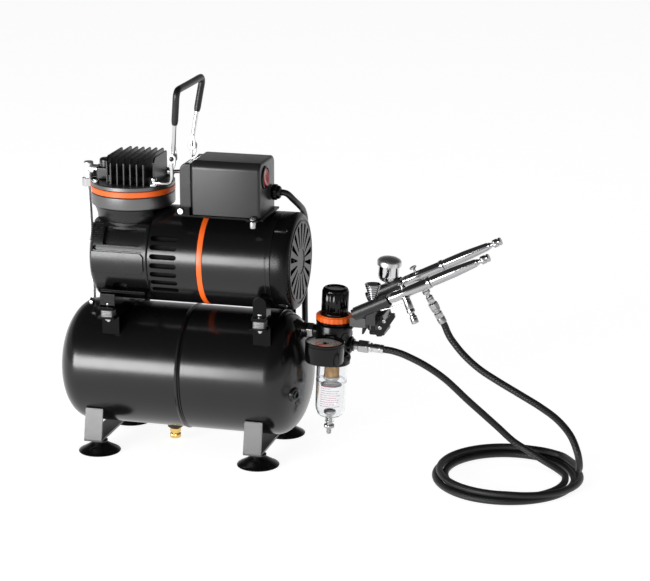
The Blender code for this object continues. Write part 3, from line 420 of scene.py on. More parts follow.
def even_normals(piece):
    """Keep the shading of the big faces round a cut."""
    step = piece.modifiers.new("even_normals", "WEIGHTED_NORMAL")
    step.keep_sharp = True


def smooth_path(route, spacing):
    """Evenly spaced points on a smooth curve through the route's points."""
    points = [Vector(p) for p in route]
    points = [2 * points[0] - points[1]] + points + [2 * points[-1] - points[-2]]
    dense = []
    for a, b, c, d in zip(points, points[1:], points[2:], points[3:]):
        for step in range(16):
            t = step / 16
            dense.append(0.5 * (2 * b + (c - a) * t + (2 * a - 5 * b + 4 * c - d) * t ** 2
                                + (3 * b - a - 3 * c + d) * t ** 3))
    dense.append(points[-2])
    lengths = [0.0]
    for a, b in zip(dense, dense[1:]):
        lengths.append(lengths[-1] + (b - a).length)
    count = max(2, round(lengths[-1] / spacing))
    even, index = [], 0
    for step in range(count + 1):
        target = lengths[-1] * step / count
        while index < len(lengths) - 2 and lengths[index + 1] < target:
            index += 1
        share = (target - lengths[index]) / (lengths[index + 1] - lengths[index])
        even.append(dense[index].lerp(dense[index + 1], share))
    return even


def tube(name, path, radius, look, body, sides=16):
    """Round tube along path with closed ends; radius may be a list.

    UVs run once round it and in metres along it.
    """
    bm = bmesh.new()
    layer = bm.loops.layers.uv.new("UVMap")
    radii = radius if isinstance(radius, list) else [radius] * len(path)
    tangents = [(path[min(i + 1, len(path) - 1)] - path[max(i - 1, 0)]).normalized() for i
                in range(len(path))]
    side = tangents[0].orthogonal().normalized()
    rings, along = [], [0.0]
    for a, b in zip(path, path[1:]):
        along.append(along[-1] + (b - a).length * MM)
    for spot, tangent, size in zip(path, tangents, radii):
        side = (side - tangent * side.dot(tangent)).normalized()
        up = tangent.cross(side)
        turns = [2 * math.pi * step / sides for step in range(sides)]
        rings.append([bm.verts.new(spot + (side * math.cos(t) + up * math.sin(t)) * size) for t in turns])
    for index, (first, second) in enumerate(zip(rings, rings[1:])):
        for step in range(sides):
            after = (step + 1) % sides
            face = bm.faces.new((first[step], first[after], second[after], second[step]))
            corners = ((step, index), (step + 1, index), (step + 1, index + 1), (step, index + 1))
            for loop, (u, v) in zip(face.loops, corners):
                loop[layer].uv = (u / sides, along[v])
    bm.faces.new(rings[0][::-1])
    bm.faces.new(rings[-1])
    return show(name, bm, look, body, smooth=50)


def hexagon(across, turn=0.0):
    radius = across / math.sqrt(3)
    return [(radius * math.cos(math.radians(60 * k + turn)), radius * math.sin(math.radians(60 * k + turn)))
            for k in range(6)]


def cap_screw(name, at, axis, body, head=3.0, height=2.6, look="chrome"):
    """Screw head with a hexagon socket."""
    outline = rounded([(0, 0), (head, 0), (head, height), (0, height)], 0.5)
    screw = turned(name, outline, look, body, at, axis, 24)
    hole = prism(name + "_cut", hexagon(head * 1.05), height * 0.25, height + 1, "Z", look, None,
                 standing(at, aimed(axis)))
    combine(screw, hole)
    return screw


def cross_screw(name, at, axis, body, head=3.2, look="chrome"):
    """Domed screw head with a cross recess."""
    outline = [(0, 0), (head, 0), (head, 0.5), (head * 0.8, 1.3), (head * 0.4, 1.8), (0, 1.95)]
    screw = turned(name, outline, look, body, at, axis, 24)
    for turn, part in ((0, "a"), (90, "b")):
        slot = block(name + part, (-head * 0.5, -0.35, 0.9), (head * 0.5, 0.35, 3), look, None,
                     standing(at, aimed(axis) @ Matrix.Rotation(math.radians(turn), 4, "Z")))
        combine(screw, slot)
    return screw


def nut(name, at, axis, body, across=7.0, height=3.2, look="steel"):
    piece = prism(name, hexagon(across, 12), 0, height, "Z", look, body, standing(at, aimed(axis)),
                  bevel=0.4)
    return piece


def shine(node, look):
    """Give a carried-over CAD node its finished material."""
    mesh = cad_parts[node].data
    mesh.materials.clear()
    mesh.materials.append(LOOK[look])


ROOT = "compressor"

# ---------------------------------------------------------------- tank and legs

def dome(depth, radius, steps):
    """Quarter outline of a pressed tank end: (radius, height above the shoulder)."""
    points = []
    for step in range(steps + 1):
        r = radius * math.cos(math.pi / 2 * step / steps)
        points.append((r, depth * (1 - (r / radius) ** 2.3) ** (1 / 2.3)))
    return points


def make_tank():
    left, right = -100.0, 93.0
    upper = [(r, right + h) for r, h in dome(32, TANK_R, 28)]
    lower = [(r, left - h) for r, h in dome(32, TANK_R, 28)]
    seam = [(TANK_R, 1.4), (TANK_R + 0.7, 2.2), (TANK_R + 1.0, 3.2), (TANK_R + 0.5, 4.2),
            (TANK_R - 0.8, 4.9), (TANK_R - 1.1, 5.7), (TANK_R - 0.7, 6.6), (TANK_R, 7.4)]
    shell = turned("tank", lower[::-1] + seam + upper, "tank", ROOT, (0, 0, TANK_Z), (1, 0, 0), 128)
    outlet = [(0, 104), (11, 111), (9.4, 115.5), (8.2, 117.2), (7.6, 118), (7.6, 121.5), (0, 121.5)]
    boss = turned("tank_outlet", outlet, "tank", ROOT, (0, 0, 130), (1, 0, 0), 40)
    plug_axis = Vector((0.936, -0.343, -0.077)).normalized()
    plug_at = Vector((119.3, -39.8, 74.1))
    seat = turned("tank_port", [(0, -4), (8.6, -4), (7.4, 0.2), (6.8, 1.8), (6.2, 2.2), (0, 2.2)], "tank",
                  ROOT, plug_at, plug_axis, 40)
    cap_screw("tank_port_plug", plug_at + plug_axis * 1.8, plug_axis, ROOT, 4.8, 1.6, "plastic")
    drain = [(0, 14.6), (6.8, 14.6), (8, 15.6), (8, 19), (9.4, 21.5), (9.4, 24), (0, 24)]
    seat_low = turned("tank_drain_boss", drain, "tank", ROOT, (-19.2, 0, 0), (0, 0, 1), 40)
    plate = prism("tank_data_plate", [(-20, -7), (20, -7), (20, 7), (-20, 7)], 0, 0.4, "Z", "steel", ROOT,
                  standing((-40, 62.6, 90), aimed((0, 1, 0))), bevel=0.15)
    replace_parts(shell, "tank_shell")
    for extra in (boss, seat, seat_low, plate, bpy.data.objects["tank_port_plug"]):
        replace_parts(extra, "tank_shell")
    at = (-19.2, 0, 0)
    stem = turned("drain_stem", [(0, 12.5), (2.6, 12.5), (2.6, 18.4), (0, 18.4)], "brass", "tank_drain", at,
                  segments=24)
    hexes = prism("drain_hex", hexagon(10.2, 8), 9.6, 13.8, "Z", "brass", "tank_drain", standing(at),
                  bevel=0.5)
    knob = fluted("drain_knob", 5.6, 3.4, 8.2, 24, 0.4, "brass", "tank_drain", at)
    neck = turned("drain_neck", [(0, 8), (4.2, 8), (4.2, 9.8), (0, 9.8)], "brass", "tank_drain", at,
                  segments=24)
    for part in (stem, hexes, knob, neck):
        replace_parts(part, "drain_cock")


def fluted(name, radius, low, high, count, depth, look, body, at, axis=(0, 0, 1), edge=0.6, share=0.5):
    """Round knob with shallow flutes and rounded ends."""
    outline = []
    steps = 4
    for index in range(count):
        for step in range(steps):
            turn = 2 * math.pi * (index + step / steps) / count
            inward = depth if step / steps < share else 0.0
            outline.append(((radius - inward) * math.cos(turn), (radius - inward) * math.sin(turn)))
    bm = bmesh.new()
    levels = [(low, edge), (low + edge, 0), (high - edge, 0), (high, edge)]
    rings = []
    for height, inset in levels:
        scale = (radius - inset) / radius
        rings.append([bm.verts.new((x * scale, y * scale, height)) for x, y in outline])
    bm.faces.new(rings[0][::-1])
    bm.faces.new(rings[-1])
    for lower, upper in zip(rings, rings[1:]):
        for step in range(len(outline)):
            after = (step + 1) % len(outline)
            bm.faces.new((lower[step], lower[after], upper[after], upper[step]))
    return show(name, bm, look, body, standing(at, aimed(axis)), smooth=50)


def bent_strip(path, thickness):
    """Outline of a strip of sheet along path, on its left side."""
    other = []
    for index, point in enumerate(path):
        before = Vector(path[max(index - 1, 0)])
        after = Vector(path[min(index + 1, len(path) - 1)])
        here = Vector(point)
        incoming = (here - before).normalized() if index else (after - here).normalized()
        outgoing = (after - here).normalized() if index < len(path) - 1 else incoming
        normal = Vector((-incoming.y - outgoing.y, incoming.x + outgoing.x)).normalized()
        stretch = max(0.4, normal.dot(Vector((-incoming.y, incoming.x))))
        other.append(tuple(here + normal * thickness / stretch))
    return list(path) + other[::-1]


def round_corners(path, radius, steps=5):
    result = [path[0]]
    for before, here, after in zip(path, path[1:], path[2:]):
        here, before, after = Vector(here), Vector(before), Vector(after)
        reach = min(radius, (before - here).length * 0.45, (after - here).length * 0.45)
        start = here + (before - here).normalized() * reach
        end = here + (after - here).normalized() * reach
        for step in range(steps + 1):
            t = step / steps
            result.append(tuple(start.lerp(here, t).lerp(here.lerp(end, t), t)))
    result.append(path[-1])
    return result


def make_legs():
    half, top, low = 60.5, 46.0, 12.0
    side = math.sqrt(TANK_R ** 2 - (TANK_Z - top) ** 2) + 0.6
    path = [(-side, top), (-half + 8, top), (-half, low), (half, low), (half - 8, top), (side, top)]
    outline = bent_strip(round_corners(path, 3.0), 2.4)
    foot = [(0, 4.5), (10, 4.2), (14, 3.2), (17.8, 0.5), (20.4, 0), (21.3, 0.3), (21.5, 0.9), (21.2, 1.5),
            (18.5, 3.0), (15, 4.9), (11.6, 6.9), (9.6, 8.3), (8.2, 9.4), (7.8, 10.2), (8.4, 10.8),
            (8.4, 11.7), (0, 11.7)]
    for sign, name in ((-1, "left"), (1, "right")):
        centre = sign * 84.3 - 3.6
        strap = prism("leg_" + name, outline, centre - 9.25, centre + 9.25, "X", "strap", ROOT, bevel=0.5)
        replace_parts(strap, "leg_strap_" + name)
        for end, row in ((-1, "front"), (1, "rear")):
            cup = turned("cup_%s_%s" % (row, name), foot, "rubber", ROOT, (sign * 84.3, end * 49.2, 0),
                         segments=64)
            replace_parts(cup, "foot_%s_%s" % (row, name))
            screw = cross_screw("foot_screw_%s_%s" % (row, name), (sign * 84.3, end * 49.2, 14.4),
                                (0, 0, 1), ROOT, 3.6, "steel")
            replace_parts(screw, "leg_strap_" + name)


def make_mounts():
    over_radius = TANK_R + 0.3
    reach, thick, rail = 47.5, 1.8, 145.8
    start = math.degrees(math.acos(-reach / over_radius))
    over = arc((0, TANK_Z), over_radius, start, 180 - start, 32)
    path = [(-61.5, rail - thick), (-reach, rail - thick)] + over + [(reach, rail - thick),
                                                                     (61.5, rail - thick)]
    for name, x in (("left", -69.5), ("right", 88.5)):
        bracket = prism("saddle_" + name, bent_strip(path, thick), x - 9, x + 9, "X", "bracket", ROOT,
                        bevel=0.35)
        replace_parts(bracket, "tank_bracket_" + name)
        for end, row in ((-1, "front"), (1, "rear")):
            label = "%s_%s" % (row, name)
            at = (x, end * 53.0, 0)
            block_look = turned_square("buffer_" + label, 6.2, 146.1, 152.6, 4, at)
            bolt = cap_screw("mount_bolt_" + label, (x, end * 53.0, 156.6), (0, 0, 1), ROOT, 3.0, 2.8)
            low_nut = nut("mount_nut_" + label, (x, end * 53.0, 143.9), (0, 0, -1), ROOT, 6.4, 2.8,
                          "chrome")
            tip = turned("mount_stud_" + label, [(0, -1.6), (1.6, -1.6), (1.8, -1.2), (1.8, 0.4), (0, 0.4)],
                         "chrome", ROOT, (x, end * 53.0, 141.2), segments=16)
            for part in (block_look, bolt, low_nut, tip):
                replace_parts(part, "rubber_mount_" + label)


def turned_square(name, half, low, high, ribs, at):
    """Square rubber block with ribs all round."""
    bm = bmesh.new()
    rings = []
    count = ribs * 4
    for index in range(count + 1):
        height = low + (high - low) * index / count
        inward = 0.55 if index % 4 in (0, 3) and 0 < index < count else 0.0
        outline = []
        for cx, cy, turn in ((1, 1, 0), (-1, 1, 90), (-1, -1, 180), (1, -1, 270)):
            corner = (cx * (half - inward - 1.4), cy * (half - inward - 1.4))
            outline += arc(corner, 1.4, turn, turn + 90, 3)
        rings.append([bm.verts.new((x, y, height)) for x, y in outline])
    bm.faces.new(rings[0][::-1])
    bm.faces.new(rings[-1])
    for lower, upper in zip(rings, rings[1:]):
        for step in range(len(lower)):
            after = (step + 1) % len(lower)
            bm.faces.new((lower[step], lower[after], upper[after], upper[step]))
    return show(name, bm, "buffer", ROOT, standing(at), smooth=40)


# ---------------------------------------------------------------- pump and motor

def wrapped(name, outline, low, high, look, body, bevel=0.0, mirrored=False):
    """Flat outline in (x, degrees up from the front) wrapped round the motor, low to high in radius."""
    bm = bmesh.new()
    points = [(x, math.radians(a)) for x, a in outline]
    add_prism(bm, points, low, high)
    angles = [a for x, a in points]
    steps = max(1, math.ceil((max(angles) - min(angles)) / math.radians(4)))
    for step in range(1, steps):
        cut = min(angles) + (max(angles) - min(angles)) * step / steps
        everything = bm.verts[:] + bm.edges[:] + bm.faces[:]
        bmesh.ops.bisect_plane(bm, geom=everything, dist=1e-4, plane_co=(0, cut, 0), plane_no=(0, 1, 0))
    side = 1 if mirrored else -1
    for vert in bm.verts:
        x, angle, radius = vert.co
        vert.co = (x, side * radius * math.cos(angle), MOTOR_Z + radius * math.sin(angle))
    return show(name, bm, look, body, bevel=bevel)


def pill(low, high, middle, half_width, half_height, steps=6):
    """Outline with two round ends, from low to high; middle is its height."""
    turns = [math.pi * (step / steps - 0.5) for step in range(steps + 1)]
    right = [(high - half_width + half_width * math.cos(t), middle + half_height * math.sin(t)) for t
             in turns]
    left = [(low + half_width - half_width * math.cos(t), middle - half_height * math.sin(t)) for t
            in turns]
    return right + left


def capsule(low, high, middle, half):
    """Pill in (x, degrees round the motor); half is half its height in degrees."""
    return pill(low, high, middle, half * math.radians(1) * MOTOR_R, half)


def make_crankcase():
    on_axis = (0, 0, MOTOR_Z)
    outline = [(0, -92.5), (36, -92.5), (41, -92.1), (45, -91), (47.4, -89), (48.6, -86.8), (49, -84.5),
               (49, -31.2), (48.2, -30.2), (44, -30.2), (44, -36), (0, -36)]
    case = turned("crank_housing", outline, "case", ROOT, on_axis, (1, 0, 0), 128)
    combine(case, block("cut_top", (-110, -70, 237), (-10, 70, 280), "case", None))
    for mirrored in (False, True):
        panel = [(-76.5, 19.5), (-38.5, 19.5), (-33.5, 24), (-33.5, 42.5), (-76.5, 42.5)]
        combine(case, wrapped("cut_panel", panel, 44.4, 60, "case", None, mirrored=mirrored))
        combine(case, wrapped("cut_groove", capsule(-87, -33.2, 15.6, 3.0), 44.6, 60, "case", None,
                              mirrored=mirrored))
        combine(case, wrapped("cut_foot_hole", capsule(-68.5, -52.5, -34, 6.5), 43, 60, "case", None,
                              mirrored=mirrored))
        band = [(-87.6, -13.6), (-36.6, -13.6), (-33.2, -9.5), (-33.2, 7.6), (-36.6, 11.6), (-87.6, 11.6)]
        raised = wrapped("crank_band_%d" % mirrored, band, 47, 51.0, "case", ROOT, bevel=1.3,
                         mirrored=mirrored)
        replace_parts(raised, "crankcase")
    for index in range(9):
        angle = 24 + index * 2.6
        fillet = wrapped("crank_facet_%d" % index, [(-90.4, angle), (-78.6, angle), (-78.6, angle + 1.5),
                                                    (-90.4, angle + 1.5)], 46, 49.12, "case", ROOT,
                         bevel=0.1)
        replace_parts(fillet, "crankcase")
    deck = turned("crank_deck", [(27.2, -6), (36, -6), (36, 0.25), (27.2, 0.25)], "case", ROOT,
                  (HEAD_X, 0, 237), segments=64)
    even_normals(case)
    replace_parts(case, "crankcase")
    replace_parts(deck, "crankcase")
    for end in (-1, 1):
        tag = "front" if end < 0 else "rear"
        foot = [(end * y, z) for y, z in ((30, 153.2), (61, 153.2), (61, 156.6), (56, 157), (55, 168.8),
                                          (53, 170), (53, 173), (40, 173), (34, 166), (30, 160))]
        lug = prism("crank_foot_" + tag, foot, -77.5, -61.5, "X", "bracket", ROOT, bevel=0.6)
        flange = block("crank_flange_" + tag, (-66.5, min(end * 40, end * 53.4), 169.6),
                       (-30.4, max(end * 40, end * 53.4), 173), "bracket", ROOT, bevel=0.7)
        rib = prism("crank_rib_" + tag, [(end * 38, 160), (end * 50, 169.8), (end * 38, 169.8)], -36, -33,
                    "X", "bracket", ROOT, bevel=0.4)
        for part in (lug, flange, rib):
            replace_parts(part, "crankcase")
        left_bolt = cap_screw("tray_bolt_" + tag, (-96.5, end * 22, 150), (-1, 0, 0), ROOT, 4, 3.4)
        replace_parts(left_bolt, "crankcase")
    hub = turned("crank_cover", rounded([(0, -93.4), (24, -93.4), (24, -91), (0, -91)], 0.7), "case", ROOT,
                 on_axis, (1, 0, 0), 64)
    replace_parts(hub, "crankcase")
    for index in range(4):
        turn = math.radians(45 + 90 * index)
        spot = (-93.2, 19 * math.cos(turn), MOTOR_Z + 19 * math.sin(turn))
        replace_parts(cross_screw("crank_cover_screw_%d" % index, spot, (-1, 0, 0), ROOT, 2.6, "steel"),
                    "crankcase")


def make_motor():
    on_axis = (0, 0, MOTOR_Z)
    outline = [(46.4, -29.7), (48.3, -29.7), (49, -29), (49, 21.6), (48.6, 22), (48.6, 27.6), (49, 28),
               (49, 91.6), (48.7, 92), (48.7, 92.6), (49, 93), (49, 96.6), (48.6, 97), (5, 97), (5, 93),
               (46.4, 93)]
    housing = turned("motor_shell", outline, "motor", ROOT, on_axis, (1, 0, 0), 160)
    for mirrored in (False, True):
        for index in range(7):
            middle = -1.6 + 10.75 * (index - 3)
            combine(housing, wrapped("cut_slot", capsule(-27, 1, middle, 3.05), 40, 60, "motor", None,
                                     mirrored=mirrored))
    band = turned("orange_band", rounded([(48.4, 22.1), (49.25, 22.1), (49.25, 27.5), (48.4, 27.5)], 0.25),
                  "orange", ROOT, on_axis, (1, 0, 0), 160)
    even_normals(housing)
    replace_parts(housing, "motor_housing")
    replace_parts(band, "motor_housing")
    # Painted shade: a thin near-black matt sleeve just inside the slots, standing in for the shade inside the
    # motor.
    shade_sleeve = turned("motor_painted_shade_sleeve", [(40.5, -29), (41.5, -29), (41.5, 8), (40.5, 8)], "dark", ROOT, on_axis,
                    (1, 0, 0), 64)
    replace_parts(shade_sleeve, "motor_housing")
    for end in (-1, 1):
        tag = "front" if end < 0 else "rear"
        arch = [(81.5, 153.2), (95.5, 153.2), (95.5, 170)] + arc((88.5, 170), 7, 0, 180, 10) + [(81.5, 170)]
        arch = [p for i, p in enumerate(arch) if i == 0 or (Vector(p) - Vector(arch[i - 1])).length > 0.01]
        lug = prism("motor_foot_" + tag, arch, min(end * 38, end * 55), max(end * 38, end * 55), "Y",
                    "bracket", ROOT, bevel=0.8)
        pad = block("motor_pad_" + tag, (81.5, min(end * 40, end * 61), 153.2),
                    (95.5, max(end * 40, end * 61), 156.6), "bracket", ROOT, bevel=0.6)
        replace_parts(lug, "motor_housing")
        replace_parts(pad, "motor_housing")


def make_fan_cover():
    on_axis = (0, 0, MOTOR_Z)
    outline = [(47.4, 97.4), (48.8, 97.4), (49, 97.8), (49, 110.5), (48.4, 112.6), (47, 114.4), (45, 115.4),
               (43, 115.7), (42.4, 115.3), (41.6, 114.9), (40.9, 115.1), (40.2, 115.9), (13.2, 116.2),
               (12.4, 115.6), (0, 115.6), (0, 113.4), (40, 113.4), (45.5, 112.6), (47.4, 109)]
    cover = turned("fan_guard", outline, "cover", ROOT, on_axis, (1, 0, 0), 128)
    bm = bmesh.new()
    wedge = [(14.5, -0.7)] + [(37.4, -3.0), (38.4, -1.6), (38.7, 0), (38.4, 1.6),
                              (37.4, 3.0)] + [(14.5, 0.7), (13.9, 0)]
    for index in range(18):
        add_prism(bm, wedge, 108, 122, "X", Matrix.Rotation(2 * math.pi * index / 18 + 0.08, 4, "X"))
    tool = show("cut_wedges", bm, "cover", None, standing(on_axis))
    combine(cover, tool)
    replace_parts(cover, "fan_cover")
    for index, (side, rise) in enumerate(((-1, 1), (-1, -1), (1, 1), (1, -1))):
        centre = (0, side * 29.4, MOTOR_Z + rise * 37.2)
        lug = turned("guard_lug_%d" % index, rounded([(0, 98), (3.6, 98), (3.6, 109.6), (0, 109.6)], 0.6),
                     "cover", ROOT, centre, (1, 0, 0), 28)
        screw = cross_screw("guard_screw_%d" % index, (109.4, centre[1], centre[2]), (1, 0, 0), ROOT, 2.2)
        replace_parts(lug, "fan_cover")
        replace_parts(screw, "fan_cover")


def make_cylinder():
    barrel = [(22.5, 237.4), (35.6, 237.4), (36, 238), (36.3, 242), (37.4, 245.4), (39.4, 250.3),
              (22.5, 250.3)]
    cylinder = turned("cylinder_barrel", barrel, "case", ROOT, (HEAD_X, 0, 0), segments=128)
    combine(cylinder, block("cut_left", (-120, -60, 230), (-92.2, 60, 244), "flange", None))
    combine(cylinder, block("cut_right", (-30.2, -60, 230), (0, 60, 260), "flange", None))
    rim = [(22.5, 250.6), (39.6, 250.6), (41, 251.6), (42, 252.2), (42.3, 253), (42.3, 263.4),
           (41.7, 264.2), (22.5, 264.2)]
    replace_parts(turned("cylinder_flange", rim, "flange", ROOT, (HEAD_X, 0, 0), segments=128), "cylinder")
    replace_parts(cylinder, "cylinder")
    ring = [(24.5, 264.6), (42, 264.6), (42.5, 265.1), (42.5, 269.7), (42, 270.2), (24.5, 270.2)]
    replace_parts(turned("orange_gasket", ring, "orange", ROOT, (HEAD_X, 0, 0), segments=128),
                "head_gasket_ring")
    plate = [(0, 270.5), (41.9, 270.5), (42.3, 271), (42.3, 274.2), (41.2, 275.2), (0, 275.2)]
    head = turned("head_plate", plate, "flange", ROOT, (HEAD_X, 0, 0), segments=128)
    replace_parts(head, "cylinder_head")
    for index in range(8):
        x = -54.3 + 6.85 * (index - 3.5)
        half = {0: 23.5, 7: 20.5}.get(index, 31.5)
        outline = [(-half, 274.5), (half, 274.5), (half, 300.6), (half - 1.6, 302), (6.5 - half, 302),
                   (4.5 - half, 301.4), (-half, 297)]
        fin = prism("head_fin_%d" % index, outline, x - 0.95, x + 0.95, "X", "cast", ROOT, bevel=0.55)
        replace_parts(fin, "cylinder_head")
    core = block("head_core", (-79, -22, 274.5), (-31, 22, 283), "cast", ROOT, bevel=1.0)
    port = block("head_port", (-93.5, -14, 275), (-79.5, 8, 288.5), "cast", ROOT, bevel=2.0, steps=3)
    tower = turned("head_port_tower", rounded([(0, 275), (6.4, 275), (6.4, 296.5), (0, 297.2)], 2.5, 5),
                   "case", ROOT, (-85.4, -6, 0), segments=48)
    for part in (core, port, tower):
        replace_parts(part, "cylinder_head")
    for index, y in ((2, 25.5), (3, -25.5)):
        bolt = cap_screw("head_bolt_%d" % index, (-89, y, 275.2), (0, 0, 1), ROOT, 3.2, 3.0)
        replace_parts(bolt, "cylinder_head")
    make_air_pipe()


def make_air_pipe():
    route = [(-95.5, -6, 284), (-99, -6, 284), (-103, -5.9, 282.6), (-105.2, -5.6, 278),
             (-105.8, -4.6, 270), (-105.4, -2, 240), (-105, 0, 190), (-105, 0, 147.5)]
    pipe = tube("pump_pipe", smooth_path(route, 2.0), 2.5, "aluminium", ROOT, 24)
    elbow = turned("pipe_union", [(0, -9), (5.2, -9), (5.2, -5), (4.6, -4.6), (4.6, 3.6), (5.2, 4),
                                  (5.2, 7), (0, 7)], "aluminium", ROOT, (-98.5, -6, 284.5), (-1, 0, 0), 32)
    top = turned("pipe_elbow", rounded([(0, 275), (5, 275), (5, 292), (0, 292.4)], 1.6, 4), "aluminium",
                 ROOT, (-104, -5.7, 0), segments=32)
    lower = prism("pipe_nut", hexagon(10.6, 20), 266.4, 275.2, "Z", "chrome", ROOT,
                  standing((-105.4, -5.2, 0)), bevel=0.7)
    for part in (pipe, elbow, top, lower):
        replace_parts(part, "air_pipe")
    lock = prism("head_port_nut", hexagon(12.5, 20), 0, 4.6, "Z", "plastic", ROOT,
                 standing((-93, -6, 279), aimed((-1, 0, 0))), bevel=0.6)
    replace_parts(lock, "cylinder_head")


# ---------------------------------------------------------------- handle and switch box

def make_handle():
    eye_y = PIVOT.y - 1.2
    for side, name in ((-1, "front"), (1, "rear")):
        route = [(-28.5, side * 25.5, 278.6), (-17, side * 28, 279), (-9.5, side * 31.5, 280.5),
                 (-6.4, side * 34.3, 286), (-6.1, side * 34.7, 294), (-6.1, side * 34.7, 302)]
        stay = tube("handle_stay_" + name, smooth_path(route, 1.6), 2.0, "chrome", ROOT, 20)
        pad = turned("handle_pad_" + name, rounded([(0, 275.4), (5.2, 275.4), (5.2, 277.2), (0, 277.2)],
                                                   0.5), "chrome", ROOT, (-28.5, side * 25.5, 0),
                     segments=32)
        bolt = cap_screw("handle_bolt_" + name, (-28.5, side * 25.5, 280), (0, 0, 1), ROOT, 3.2, 3.2)
        outline = arc((0, 0), 4.4, 0, 180, 14) + [(-3.4, -7), (-2.2, -10), (2.2, -10), (3.4, -7)]
        plate = prism("handle_plate_" + name, outline, -1.1, 1.1, "Z", "chrome", ROOT,
                      standing((PIVOT.x, side * 33.9, PIVOT.z), UPRIGHT), bevel=0.3)
        rivet = turned("handle_rivet_" + name, [(0, -1), (2.4, -1), (2.4, 0.2), (1.9, 1.0), (1, 1.3),
                                                (0, 1.4)], "cast", ROOT, (PIVOT.x, side * 35.2, PIVOT.z),
                       (0, side, 0), 24)
        for part in (stay, pad, bolt, plate, rivet):
            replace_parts(part, "handle_bracket_" + name)
    leg = [(PIVOT.x, -eye_y, PIVOT.z), (-5.5, -30.2, 312), (-3.6, -33, 328), (0.4, -38.6, 358)]
    corner = [(1.9, -40.6, 369), (2.3, -38.4, 373.6), (2.4, -34, 375)]
    half = leg + corner + [(2.4, -12, 375)]
    path = smooth_path(half + [(x, -y, z) for x, y, z in reversed(half)], 2.2)
    bar = tube("handle_bar", path, 2.1, "chrome", "handle", 20)
    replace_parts(bar, "handle_rod")
    for side, name in ((-1, "front"), (1, "rear")):
        outline = arc((0, 0), 4.2, 180, 360, 14) + [(3.2, 6), (2.0, 11), (-2.0, 11), (-3.2, 6)]
        tilt = Matrix.Rotation(math.radians(5), 4, "Y")
        eye = prism("handle_eye_" + name, outline, -1.0, 1.0, "Z", "chrome", "handle",
                    standing((PIVOT.x, side * (eye_y - 0.3), PIVOT.z), tilt @ UPRIGHT), bevel=0.3)
        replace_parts(eye, "handle_rod")
    gripped = [p for p in path if p.z > 338]
    radii = [3.4] * len(gripped)
    for index in (0, 1):
        radii[index] = radii[-1 - index] = (2.6, 3.2)[index]
    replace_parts(tube("handle_sleeve", gripped, radii, "grip", "handle", 24), "handle_grip")


